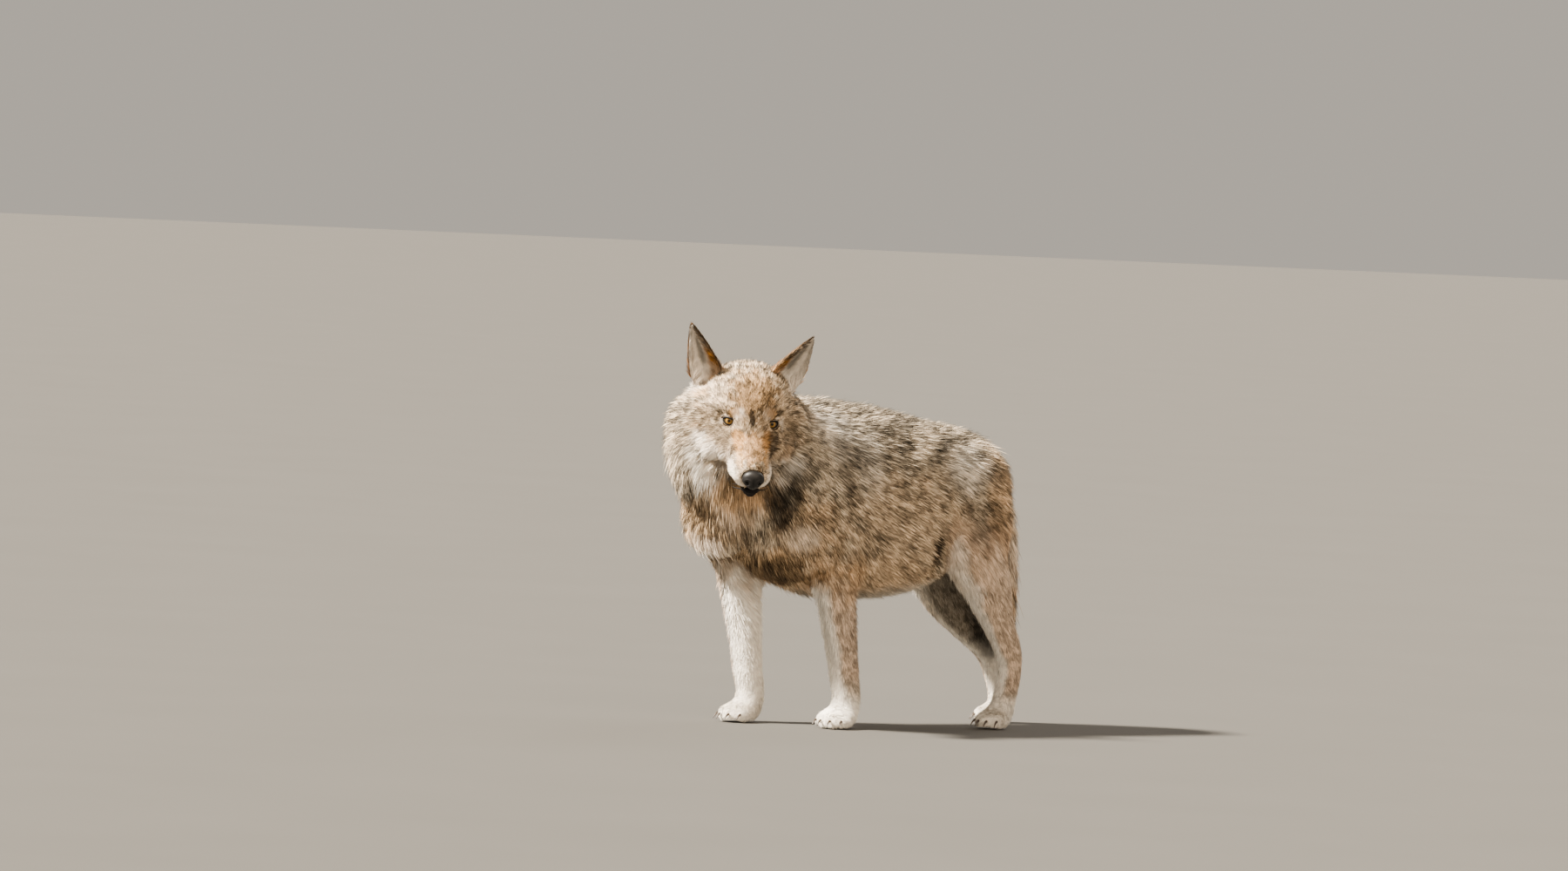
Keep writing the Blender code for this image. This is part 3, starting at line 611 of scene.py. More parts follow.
# The marks of each channel in each frame, as (place, radii, strength, sides). A mark on ONE side is
# where its place says.
MARKINGS = {
    ("pale", "head"): (
        ((0.086, 0.010, -0.077), (0.028, 0.034, 0.023), 1.0, BOTH),
        ((0.064, 0.022, -0.096), (0.024, 0.020, 0.016), 0.95, BOTH),
        ((0.048, 0.048, -0.074), (0.018, 0.040, 0.019), 1.0, BOTH),
        ((-0.062, 0.034, -0.062), (0.026, 0.034, 0.024), 1.0, ONE),
        ((-0.064, 0.016, -0.104), (0.040, 0.034, 0.036), 1.0, ONE),
        ((-0.080, 0.012, -0.062), (0.020, 0.026, 0.018), 1.0, ONE),
        ((-0.049, 0.052, -0.050), (0.017, 0.026, 0.015), 1.0, ONE),
        ((0.040, 0.092, -0.066), (0.022, 0.040, 0.021), 1.0, BOTH),
        ((-0.094, -0.002, -0.046), (0.018, 0.022, 0.017), 1.0, ONE),
        ((-0.043, 0.069, -0.066), (0.020, 0.036, 0.024), 1.0, ONE),
        ((0.030, 0.110, -0.068), (0.016, 0.026, 0.014), 1.0, BOTH),
        ((0.070, -0.040, 0.028), (0.034, 0.026, 0.026), 0.05, BOTH),
        ((0.000, 0.030, -0.170), (0.030, 0.030, 0.045), 0.30, ONE),
        ((0.000, 0.033, -0.138), (0.050, 0.040, 0.034), 0.45, ONE),
        ((0.094, -0.096, 0.026), (0.026, 0.034, 0.022), 0.75, BOTH),
        ((0.028, 0.012, 0.025), (0.012, 0.018, 0.010), 0.8, BOTH),
        ((0.046, 0.002, 0.011), (0.014, 0.014, 0.005), 0.55, BOTH),
        ((0.061, -0.010, -0.004), (0.005, 0.012, 0.014), 0.65, BOTH),
        ((0.028, 0.088, -0.034), (0.006, 0.024, 0.007), 0.45, BOTH),
        # cream on the left cheek: partly the coat's own cream, partly painted shade
        ((0.079, 0.012, -0.050), (0.018, 0.018, 0.022), 0.30, ONE),
    ),
    ("warm", "head"): (
        ((0.000, 0.033, -0.135), (0.060, 0.045, 0.050), 1.0, ONE),
        ((0.035, 0.006, 0.024), (0.016, 0.014, 0.014), 1.0, BOTH),
        ((0.058, -0.006, 0.004), (0.016, 0.014, 0.018), 0.45, BOTH),
        ((0.095, -0.069, 0.026), (0.018, 0.020, 0.018), 0.9, BOTH),
        ((0.026, 0.090, -0.030), (0.009, 0.030, 0.012), 1.0, BOTH),
        # cream on the left cheek: partly the coat's own cream, partly painted shade
        ((0.079, 0.012, -0.052), (0.022, 0.022, 0.024), 0.8, ONE),
        ((0.000, -0.010, 0.050), (0.050, 0.070, 0.040), 0.90, ONE),
        ((0.000, 0.000, 0.000), (0.110, 0.140, 0.110), 0.40, ONE),
    ),
    ("rust", "head"): (
        ((0.000, 0.078, -0.014), (0.028, 0.052, 0.020), 0.55, ONE),
        ((0.026, 0.052, -0.012), (0.012, 0.040, 0.014), 0.75, BOTH),
        ((0.072, -0.108, 0.090), (0.016, 0.022, 0.022), 0.8, BOTH),
    ),
    ("dark", "head"): (
        ((0.004, 0.100, -0.020), (0.008, 0.030, 0.012), 0.30, ONE),
        ((0.000, 0.040, 0.000), (0.010, 0.022, 0.014), 0.25, ONE),
        ((-0.004, 0.023, 0.020), (0.0070, 0.022, 0.016), 0.95, ONE),
        ((0.013, 0.008, 0.032), (0.005, 0.016, 0.010), 0.75, ONE),
        ((-0.066, -0.014, 0.015), (0.018, 0.018, 0.005), 0.70, ONE),
        ((-0.072, -0.012, -0.007), (0.018, 0.020, 0.008), 0.70, ONE),
        ((-0.049, -0.003, 0.023), (0.010, 0.016, 0.005), 0.45, ONE),
        ((0.072, -0.016, -0.002), (0.012, 0.014, 0.005), 0.60, BOTH),
        ((0.055, -0.004, 0.022), (0.014, 0.014, 0.007), 0.80, ONE),
        ((0.071, -0.020, -0.008), (0.007, 0.012, 0.018), 0.70, ONE),
        # down the left of the muzzle: partly dark fur, partly painted shade
        ((0.043, 0.034, -0.018), (0.012, 0.030, 0.018), 0.70, ONE),
        ((0.036, 0.070, -0.038), (0.009, 0.020, 0.011), 0.50, ONE),
        ((0.028, 0.022, -0.008), (0.006, 0.012, 0.007), 0.60, BOTH),
        ((-0.066, 0.006, -0.026), (0.030, 0.028, 0.016), 0.50, ONE),
        ((-0.054, 0.032, -0.024), (0.022, 0.030, 0.016), 0.60, ONE),
        ((-0.040, 0.042, -0.040), (0.009, 0.018, 0.007), 0.40, ONE),
        ((0.046, 0.022, -0.096), (0.006, 0.008, 0.005), 0.85, BOTH),
        ((0.098, 0.016, -0.130), (0.022, 0.050, 0.055), 0.80, ONE),
        ((0.080, -0.010, -0.030), (0.026, 0.034, 0.026), 0.50, ONE),
        ((-0.074, -0.014, 0.008), (0.022, 0.022, 0.010), 0.50, ONE),
        ((0.000, 0.000, 0.044), (0.050, 0.060, 0.036), 0.46, ONE),
        ((0.000, 0.122, -0.088), (0.030, 0.030, 0.010), 1.0, ONE),
        ((-0.098, 0.004, -0.150), (0.030, 0.040, 0.026), 0.45, ONE),
    ),
    ("dark", "wolf"): (
        ((0.116, -0.004, 0.376), (0.018, 0.013, 0.052), 1.0, BOTH),
        ((0.123, -0.410, 0.455), (0.034, 0.042, 0.075), 0.90, ONE),
        ((-0.020, -0.545, 0.455), (0.060, 0.045, 0.060), 0.50, ONE),
        ((0.050, -0.490, 0.395), (0.100, 0.055, 0.020), 0.60, ONE),
        ((0.120, -0.262, 0.560), (0.030, 0.026, 0.100), 0.60, BOTH),
        # under the chest between the fore legs: partly dark fur, partly painted shade
        ((0.035, -0.380, 0.318), (0.100, 0.080, 0.036), 0.70, ONE),
        ((0.000, -0.080, 0.665), (0.070, 0.230, 0.045), 0.60, ONE),
        ((0.100, -0.160, 0.600), (0.030, 0.050, 0.030), 0.35, BOTH),
        ((0.128, 0.100, 0.440), (0.030, 0.050, 0.060), 0.45, BOTH),
        ((-0.005, 0.262, 0.180), (0.080, 0.080, 0.050), 1.0, ONE),
    ),
    ("warm", "wolf"): (
        ((0.035, -0.380, 0.320), (0.110, 0.100, 0.060), 0.70, ONE),
        ((0.130, -0.090, 0.400), (0.060, 0.190, 0.130), 0.30, BOTH),
        ((0.110, -0.130, 0.310), (0.080, 0.170, 0.060), 0.42, BOTH),
        ((0.120, -0.340, 0.400), (0.050, 0.080, 0.080), 0.50, BOTH),
        ((0.000, -0.500, 0.430), (0.110, 0.060, 0.080), 0.65, ONE),
        ((0.100, 0.180, 0.460), (0.060, 0.080, 0.110), 0.55, BOTH),
    ),
    ("pale", "wolf"): (
        ((0.095, -0.285, 0.610), (0.045, 0.045, 0.065), 0.34, BOTH),
        ((0.125, -0.205, 0.560), (0.040, 0.035, 0.080), 0.22, BOTH),
        ((0.070, -0.490, 0.450), (0.050, 0.050, 0.045), 0.45, ONE),
        ((0.113, -0.354, 0.396), (0.030, 0.040, 0.024), 0.60, ONE),
        ((-0.115, -0.430, 0.380), (0.034, 0.040, 0.030), 0.80, ONE),
        ((-0.010, -0.510, 0.368), (0.060, 0.045, 0.024), 1.0, ONE),
        ((0.000, 0.000, 0.260), (0.100, 0.200, 0.050), 0.50, ONE),
        ((0.000, 0.245, 0.380), (0.080, 0.080, 0.090), 0.25, ONE),
        ((0.104, 0.050, 0.365), (0.030, 0.020, 0.050), 0.70, BOTH),
        ((0.098, 0.100, 0.290), (0.030, 0.024, 0.050), 0.80, BOTH),
        ((0.095, 0.070, 0.540), (0.050, 0.060, 0.050), 0.40, BOTH),
    ),
    ("rust", "wolf"): (
        ((0.000, 0.262, 0.330), (0.070, 0.050, 0.120), 0.35, ONE),
    ),
}


FORE_SHAFT = (0.105, 0.225)     # the height of the wrist, and from there up to the elbow


def listed_marks(points, inner):
    """The channels from the list of marks, and the unevenness of the marks' edges on the body and face."""
    frames = {"head": inner, "wolf": points}
    ragged = 0.28 * ripple(points, 0.060, 3) + 0.22 * ripple(points, 0.022, 4)
    fine = 0.30 * ripple(points, 0.020, 5) + 0.2 * ripple(points, 0.009, 6)
    channels = {name: np.zeros(len(points)) for name in ("pale", "rust", "dark", "grizzle", "warm")}
    for (channel, where), marks in MARKINGS.items():
        edge = fine if where == "head" else ragged
        for place, radii, strength, sides in marks:
            for side in sides:
                gap = (frames[where] - np.array(place) * (side, 1, 1)) / np.array(radii)
                far = np.sqrt((gap ** 2).sum(1)) + edge * 0.6
                channels[channel] = np.maximum(channels[channel], strength * (1 - ease(0.65, 1.35, far)))
    return channels, ragged, fine


def fore_middle(side, z, top):
    """How far back the middle of a fore leg is at each height."""
    elbow, wrist, _ = FORE[side]
    low, shaft = FORE_SHAFT
    return wrist + (elbow - wrist) * np.clip((z - low) / shaft, 0, top)


def leg_zones(points, ragged):
    """How far each point is on a fore leg, and on a hind leg, by the legs' own axes."""
    x, y, z = points.T
    fore, hind = np.zeros(len(points)), np.zeros(len(points))
    for side in SIDES:
        off = np.abs(y - fore_middle(side, z, 1.3)) + 0.010 * ragged
        near = (1 - ease(0.060, 0.085, off)) * ease(0.028, 0.045, side * x)
        fore = np.maximum(fore, near * (1 - ease(0.31, 0.37, z + 0.02 * ragged)))
        run = np.array(HIND[side])[::-1]
        off = np.abs(y - np.interp(z, run[:, 1], run[:, 0]))
        reach = 0.070 + 0.030 * ease(0.25, 0.40, z)
        near = (1 - ease(0.8, 1.1, off / reach + 0.1 * ragged)) * (side * x > -0.01)
        hind = np.maximum(hind, near * (1 - ease(0.38, 0.47, z + 0.03 * ragged)))
    return fore, hind


def markings(points, normals):
    """The coat's colour channels at each point: pale, rust, dark, grizzle and warm, each 0 to 1."""
    inner = to_head(points)
    channels, ragged, fine = listed_marks(points, inner)

    def raised(name, values):
        channels[name] = np.maximum(channels[name], values)

    def lowered(name, share):
        channels[name] = channels[name] * share

    # black rims of the eyes, and the dark line of the mouth
    for side in SIDES:
        across, up, far = eye_turns(inner, side)
        liner = (1 - ease(1.35, 1.75, in_lids(across, up))) * (1 - ease(0.016, 0.021, far))
        raised("dark", 0.9 * liner)
        lowered("pale", 1 - liner)
        for place in lip_line(side, 3):
            edge = np.linalg.norm(inner - place - (0, 0, -0.002), axis=1)
            raised("dark", 1 - ease(0.0025, 0.0055, edge))
            lowered("pale", ease(0.0025, 0.0055, edge))

    # legs: white in front and within, rusty behind, and painted shade on the inside of each hind leg, whose
    # own coat is pale there
    x, y, z = points.T
    front, outer = -normals[:, 1], normals[:, 0] * np.sign(x)
    fore, hind = leg_zones(points, ragged)
    ahead = np.where(x > 0, 0.81 * front - 0.59 * outer, 0.30 * front - 0.90 * outer + 0.05) + 0.20 * ragged
    pale_front = ease(-0.25, 0.35, ahead - 0.35 * ease(0.14, 0.30, z))
    least = 0.36 * ease(0.34, 0.24, z)
    raised("pale", fore * (least + (1 - least) * pale_front))
    raised("rust", fore * (0.80 - 0.45 * ease(0.24, 0.32, z)) * (1 - pale_front) * ease(0.05, 0.12, z))
    shin = ease(-0.10, 0.40, ahead)
    raised("pale", hind * (0.34 + 0.60 * shin))
    raised("rust", hind * 0.80 * (1 - shin) * ease(0.02, 0.10, z))
    # painted shade: the inside of each hind leg is made less pale and darker, where the body shades it
    inside = hind * (1 - ease(-0.75, -0.25, outer)) * ease(0.14, 0.20, z)
    lowered("pale", 1 - 0.75 * inside)
    raised("dark", 0.60 * inside)
    raised("pale", 0.95 * (1 - ease(0.04, 0.10, z)))

    # a dark streak down the front of each fore leg, and rust on the elbow
    streak = np.zeros(len(points))
    for side in SIDES:
        off = np.abs(x - side * 0.088 + 0.004 * ragged) / 0.010
        line = (1 - ease(0.4, 1.3, off)) * (y < fore_middle(side, z, 1)) * ease(0.11, 0.15, z)
        streak = np.maximum(streak, line * (1 - ease(0.28, 0.32, z)))
        gap = (points - (side * 0.128, FORE[side][0] + 0.022, 0.335)) / (0.03, 0.024, 0.032)
        raised("rust", 0.32 * (1 - ease(0.4, 1.4, np.sqrt((gap ** 2).sum(1)) + 0.4 * ragged)))
    raised("dark", streak * (0.55 + 0.3 * fine))

    # grizzled guard hairs on the body and skull, in dark and light patches along the back
    body, back = ease(0.30, 0.40, z), ease(0.44, 0.60, z + 0.03 * ragged)
    skull = ease(-0.02, 0.02, inner[:, 2]) * (np.abs(inner[:, 0]) < 0.16) * ease(0.16, 0.12, inner[:, 1])
    patches = ripple(points * (1.0, 0.7, 1.3), 0.075, 8) + 0.5 * ripple(points, 0.030, 9)
    patches = ease(-0.35, 0.55, patches)
    on_trunk = (inner[:, 1] < -0.10) | (np.abs(inner[:, 0]) > 0.18)
    trunk_grizzle = 0.60 * body + 0.40 * back * (0.50 + 0.50 * patches)
    channels["grizzle"] = np.clip(np.where(on_trunk, trunk_grizzle, 0.40 * skull + 0.56), 0, 1)
    raised("dark", 0.68 * patches * back * on_trunk)
    for name in ("pale", "rust", "dark"):
        channels[name] = np.clip(channels[name], 0, 1)
    lowered("dark", 1 - 0.5 * channels["pale"] * (z > 0.05))
    lowered("grizzle", (1 - 0.85 * channels["pale"]) * (1 - 0.5 * channels["rust"]))
    return channels


# ---------------------------------------------------------------- the parts of the skin
ZONES = ("face", "crown", "neck", "breast", "back", "flank", "haunch", "fore_leg", "hind_leg", "tail", "ear")


def zones_of(points):
    """Which named stretch of the coat each point is in."""
    inner = to_head(points)
    x, y, z = points.T
    zone = np.full(len(points), ZONES.index("back"))
    zone[(z < 0.535)] = ZONES.index("flank")
    zone[(y > 0.06) & (z < 0.60)] = ZONES.index("haunch")
    zone[(y > 0.05) & (z < 0.30)] = ZONES.index("hind_leg")
    zone[(y <= 0.05) & (z < 0.30) & (np.abs(x) > 0.035)] = ZONES.index("fore_leg")
    zone[(y < -0.30) & (z > 0.30)] = ZONES.index("neck")
    zone[(y < -0.36) & (z > 0.30) & (z < 0.49)] = ZONES.index("breast")
    near = (inner[:, 1] > -0.112) & (inner[:, 2] > -0.12) & (inner[:, 0] > -0.175) & (inner[:, 0] < 0.125)
    zone[near] = ZONES.index("crown")
    zone[near & (inner[:, 1] > -0.035) & (np.abs(inner[:, 0]) < 0.075)] = ZONES.index("face")
    return zone


def around(points, centre, axis_a, axis_b, run):
    """An unwrap of a tube: the turn about its axis, and the way along it."""
    rel = points - centre
    turn = np.arctan2(rel @ np.array(axis_a, float), rel @ np.array(axis_b, float)) / (2 * np.pi) + 0.5
    return np.column_stack([turn, rel @ np.array(run, float)])


def unwrap(points, zone):
    """Each point's place on an unwrap of its own stretch of skin, before it is fitted to the square."""
    flat = np.zeros((len(points), 2))
    inner = to_head(points)
    middles = {"fore_leg": {side: FORE[side][1] for side in SIDES},
               "hind_leg": {side: HIND[side][4][0] for side in SIDES}}
    for index, name in enumerate(ZONES):
        mine = zone == index
        if name in ("face", "crown"):
            flat[mine] = around(inner[mine], (0, 0, -0.03), (1, 0, 0), (0, 0, 1), (0, 1, 0))
        elif name in middles:
            for side in SIDES:
                leg = mine & (np.sign(points[:, 0]) == side)
                foot = (side * 0.08, middles[name][side], 0)
                flat[leg] = around(points[leg], foot, (1, 0, 0), (0, 1, 0), (0, 0, 1))
        elif name == "breast":
            flat[mine] = points[mine][:, [0, 2]]
        else:
            flat[mine] = around(points[mine], (0, 0, 0.46), (1, 0, 0), (0, 0, 1), (0, 1, 0))
    return flat


def eye_frame(side, to_viewer=0.45):
    """An eye's centre, and the way it or its lids face, outward and upward, in the head's axes."""
    turn = math.radians(EYE_SPLAY)
    socket = np.array((side * math.sin(turn), math.cos(turn), 0.0))
    viewer = HEAD_AXES.T @ np.array(view_back())
    front = np.array((side * EYE_SPREAD, EYE_AHEAD, EYE_HEIGHT))
    centre = front - socket * EYE_RADIUS + viewer * EYE_FORWARD
    gaze = unit(socket * (1 - to_viewer) + viewer * to_viewer)
    out = unit(np.cross(gaze, (0, 0, 1.0)))
    out = out * np.sign(out[0]) * side
    up = np.cross(out, gaze) * side
    return centre, gaze, out, up * np.sign(up[2])


LID_WIDE, LID_UP, LID_DOWN, LID_SLANT = 1.06, 0.55, 0.45, math.radians(8)    # turns on the eyeball
SOCKET_BRIM = EYE_RADIUS + 0.0026     # how far the skin round the lids may stand from the eye's centre
SOCKET_SLOPE = 1.1                    # how steeply the hollow rises out of there
SOCKET_SOFT = 0.003                   # how softly the hollow begins
LID_DEPTH = 0.0016                    # thickness of a lid at its edge


def lid_line(angle):
    """A point of the lids' edge, as turns across and up on the eyeball, from the outer corner round."""
    across = LID_WIDE * np.cos(angle)
    rise = np.sin(angle)
    tall = np.where(rise > 0, LID_UP, LID_DOWN) * np.sign(rise) * np.abs(rise) ** 1.15
    return (across * math.cos(LID_SLANT) - tall * math.sin(LID_SLANT),
            across * math.sin(LID_SLANT) + tall * math.cos(LID_SLANT))


def eye_turns(inner, side):
    """Points of the head as turns across and up about an eye, and how far they are from its centre."""
    centre, gaze, out, up = eye_frame(side)
    rel = inner - centre
    far = np.linalg.norm(rel, axis=1)
    rise = np.arcsin(np.clip(rel @ up / np.maximum(far, 1e-6), -1, 1))
    return np.arctan2(rel @ out, rel @ gaze), rise, far


def in_lids(across, up):
    """How far out of the open eye a place is: below 1 is inside."""
    a = (across * math.cos(LID_SLANT) + up * math.sin(LID_SLANT)) / LID_WIDE
    b = -across * math.sin(LID_SLANT) + up * math.cos(LID_SLANT)
    b = b / np.where(b > 0, LID_UP, LID_DOWN)
    return np.sqrt(a ** 2 + np.abs(b) ** 1.75)


def set_in_eyes(points, faces):
    """The skin hollowed round each eye and drawn over the eyeball, with an almond open between the lids."""
    inner = to_head(points)
    for side in SIDES:
        centre, gaze, _, _ = eye_frame(side)
        across, up, far = eye_turns(inner, side)
        ahead = (inner - centre) @ gaze
        off = np.sqrt(np.maximum(far ** 2 - ahead ** 2, 0))
        brim = np.arctan2(off, ahead) * 1.25 / np.maximum(in_lids(across, up), 1.25)
        beyond = np.maximum(off - SOCKET_BRIM * np.sin(brim), 0)
        highest = SOCKET_BRIM * np.cos(brim) + SOCKET_SLOPE * beyond
        over = SOCKET_SOFT * np.log1p(np.exp(np.clip((ahead - highest) / SOCKET_SOFT, -30, 30)))
        over = over * (1 - ease(0.026, 0.042, off)) * (ahead > 0)
        inner = inner - gaze * over[:, None]
        near = ((1 - ease(0.034, 0.048, off)) * (ahead > -0.01))[:, None]
        inner = inner + near * (softened(inner, faces, 8) - inner)
    for side in SIDES:
        centre = eye_frame(side)[0]
        across, up, far = eye_turns(inner, side)
        inside = in_lids(across, up)
        lid = EYE_RADIUS + LID_DEPTH + 0.0030 * ease(1.05, 2.2, inside)
        want = np.where(inside < 1.0, EYE_RADIUS - 0.0025, lid)
        hold = (1 - ease(1.4, 2.2, inside)) * (1 - ease(0.0200, 0.0280, far))
        reach = far + (want - far) * hold
        inner = centre + (inner - centre) / np.maximum(far, 1e-6)[:, None] * reach[:, None]
    return from_head(inner)


NOSE_AT = np.array((0.0, 0.1255, -0.0542))
# The line of the closed mouth from the middle back, on the left, in the head's axes.
LIP_RUN = (
    (0.000, 0.128, -0.0785), (0.012, 0.124, -0.0800), (0.023, 0.114, -0.0820), (0.035, 0.096, -0.0835),
    (0.040, 0.074, -0.0860), (0.044, 0.050, -0.0900), (0.047, 0.026, -0.0940),
)


def lip_line(side, steps=6):
    """The line of the mouth on one side, with steps between its stations."""
    return spread(LIP_RUN, steps) * (side, 1, 1)


# Ellipsoids without coat, as (centre, radii, where the coat starts): the lower lip and the nose's seat.
BARE_SPOTS = (
    ((0, 0.124, -0.0862), (0.0440, 0.036, 0.0160), (0.85, 1.05)),
    ((0, 0.126, -0.0542), (0.0220, 0.020, 0.0200), (0.90, 1.06)),
)
GROOVE_DEPTH = 0.0022
SHORT_NEAR_BARE = 0.014      # within this of bare skin the coat shortens


def from_mouth(inner):
    """How far each point of the head's skin is from the line of the mouth laid on it."""
    gap = np.full(len(inner), 9.0)
    for side in SIDES:
        for place in lip_line(side, 4):
            place = inner[np.linalg.norm(inner - place, axis=1).argmin()]
            gap = np.minimum(gap, np.linalg.norm(inner - place, axis=1))
    return gap


def body_skin():
    """The skin of all but the tail and ears, with all that the coat on it needs."""
    skin, faces, depth = bare_body()
    normals = normals_of(skin, faces)
    lie, sizes = coat_at(skin)
    sizes[:, 1] = np.clip(softened(depth, faces, 6), 0.6 * sizes[:, 1], 1.8 * sizes[:, 1] + 0.004)
    outer = skin + softened(normals, faces, 4) * sizes[:, 1:2]
    skin = set_in_eyes(skin, faces)
    inner = to_head(skin)
    groove = from_mouth(inner)
    normals = normals_of(skin, faces)
    skin = skin - normals * (GROOVE_DEPTH * (1 - ease(0.0015, 0.0045, groove)))[:, None]

    # round the eyes the coat lies away from the lids, whose edges are bare
    lie = laid(lie, normals)
    bare = 1 - ease(0.0042, 0.0058, groove)
    for side in SIDES:
        across, up, far = eye_turns(inner, side)
        _, _, out, rise = eye_frame(side)
        inside = in_lids(across, up)
        away = across[:, None] * (HEAD_AXES @ out) + 1.4 * up[:, None] * (HEAD_AXES @ rise)
        near = ((1 - ease(1.0, 2.2, inside)) * (1 - ease(0.018, 0.032, far)))[:, None]
        lie = unit(lie * (1 - 0.8 * near) + 0.8 * near * unit(away))
        lie = laid(unit(softened(lie, faces, 8)), normals)
        bare = np.maximum(bare, (1 - ease(1.16, 1.36, inside)) * (1 - ease(0.0160, 0.0190, far)))
    for centre, radii, (low, high) in BARE_SPOTS:
        far = np.sqrt((((inner - centre) / radii) ** 2).sum(1))
        bare = np.maximum(bare, 1 - ease(low, high, far))

    naked = tree_of(skin[bare > 0.5])
    gap = np.full(len(skin), 1.0)
    close = inner[:, 1] > -0.05
    gap[close] = [naked.find(p)[2] for p in skin[close]]
    grown = ease(0.0, SHORT_NEAR_BARE, gap)
    sizes[:, 0] *= 0.35 + 0.65 * grown
    sizes[:, 1] *= 0.50 + 0.50 * grown

    # at the muzzle's tip the coat lies outwards all round
    tip = ease(0.098, 0.125, inner[:, 1])[:, None]
    radial = (inner - (0, 0.10, -0.058)) @ HEAD_AXES.T
    lie = laid(unit(lie * (1 - tip) + tip * unit(radial)), normals)
    sole = (normals[:, 2] < -0.75) & (skin[:, 2] < 0.012)
    return {"points": skin, "faces": faces, "normals": normals, "lie": lie, "sizes": sizes, "bare": bare,
            "nohair": np.maximum(bare > 0.5, sole), "zone": zones_of(outer), "outer": outer}


TAIL_SIDES, TAIL_STEPS = 40, 10


def tail_skin():
    """The tail's skin: half as thick as the tail in its coat, and a little shorter."""
    thin = [(x, y, z, w * 0.50, a * 0.50, b * 0.50) for x, y, z, w, a, b in TAIL_RUN]
    thin[-1] = TAIL_RUN[-1][:2] + (0.175,) + (0.003,) * 3
    rings, axis = loft_rings(thin, (0, 1, 0), 2.0, TAIL_SIDES, TAIL_STEPS)
    outer_rings, _ = loft_rings(TAIL_RUN, (0, 1, 0), 2.0, TAIL_SIDES, TAIL_STEPS)
    rows, count = rings.shape[:2]
    points = rings.reshape(-1, 3)
    faces = facing_out(points, ring_faces(rows, count))
    lie = np.repeat(axis[:, None, :], count, 1).reshape(-1, 3)
    depth = np.linalg.norm((outer_rings - rings).reshape(-1, 3), axis=1).clip(0.004, 0.026)
    down = np.repeat(np.linspace(0, 1, rows), count)
    length = 0.050 + 0.016 * np.sin(np.pi * down) - 0.018 * ease(0.85, 1, down)
    sizes = np.column_stack([length, depth, np.full(len(points), 0.0018)])
    turn = np.tile(np.arange(count) / count, rows)
    return {"points": points, "faces": faces, "normals": normals_of(points, faces), "lie": lie,
            "sizes": sizes, "bare": np.zeros(len(points)), "nohair": down < 0.12,
            "zone": np.full(len(points), ZONES.index("tail")),
            "outer": outer_rings.reshape(-1, 3), "flat": np.column_stack([turn, down])}


EAR_FOOT = -0.42      # how far the shell runs on below the ear's root, in ear heights
EAR_COLUMNS, EAR_ROWS = 22, 30


def ear_shell(root, rise, across, front, width):
    """The back and then the inside of a cupped ear, as points in the head's axes."""
    back, inside = [], []
    u = np.linspace(-1, 1, EAR_COLUMNS + 1)
    bow = np.sqrt(np.maximum(0.0, 1 - (0.94 * u) ** 2))
    for j in range(EAR_ROWS + 1):
        v = EAR_FOOT + (1 - EAR_FOOT) * j / EAR_ROWS
        half = width / 2 * 0.95 * (1 - max(v, 0.0) ** 1.8) * (1 - 1.2 * max(-v, 0.0) ** 1.2) + 0.0006
        cup = 0.75 * half * (1 - 0.35 * v)
        wall = 0.0034 * (1 - 0.55 * v)
        place = root + rise * v + across * (half * u)[:, None] + front * (-0.010 * v)
        back.append(place - front * (cup * bow + wall / 2)[:, None])
        inside.append(place - front * (cup * bow - wall / 2)[:, None])
    return np.concatenate(back + inside)


def shell_faces(rows, columns):
    """The triangles of two sheets of points, back to back, and of the rim between them."""
    index = np.arange((rows + 1) * (columns + 1)).reshape(rows + 1, columns + 1)
    quads = np.stack([index[:-1, :-1], index[:-1, 1:], index[1:, 1:], index[1:, :-1]], -1).reshape(-1, 4)
    other = index.size
    rim = []
    edges = ((index[:, 0], False), (index[:, -1], True), (index[0, ::-1], False), (index[-1, ::-1], True))
    for edge, turned in edges:
        for a, b in zip(edge, edge[1:]):
            quad = (a, b, b + other, a + other)
            rim.append(quad[::-1] if turned else quad)
    return in_two(np.concatenate([quads, quads[:, ::-1] + other, np.array(rim)]))


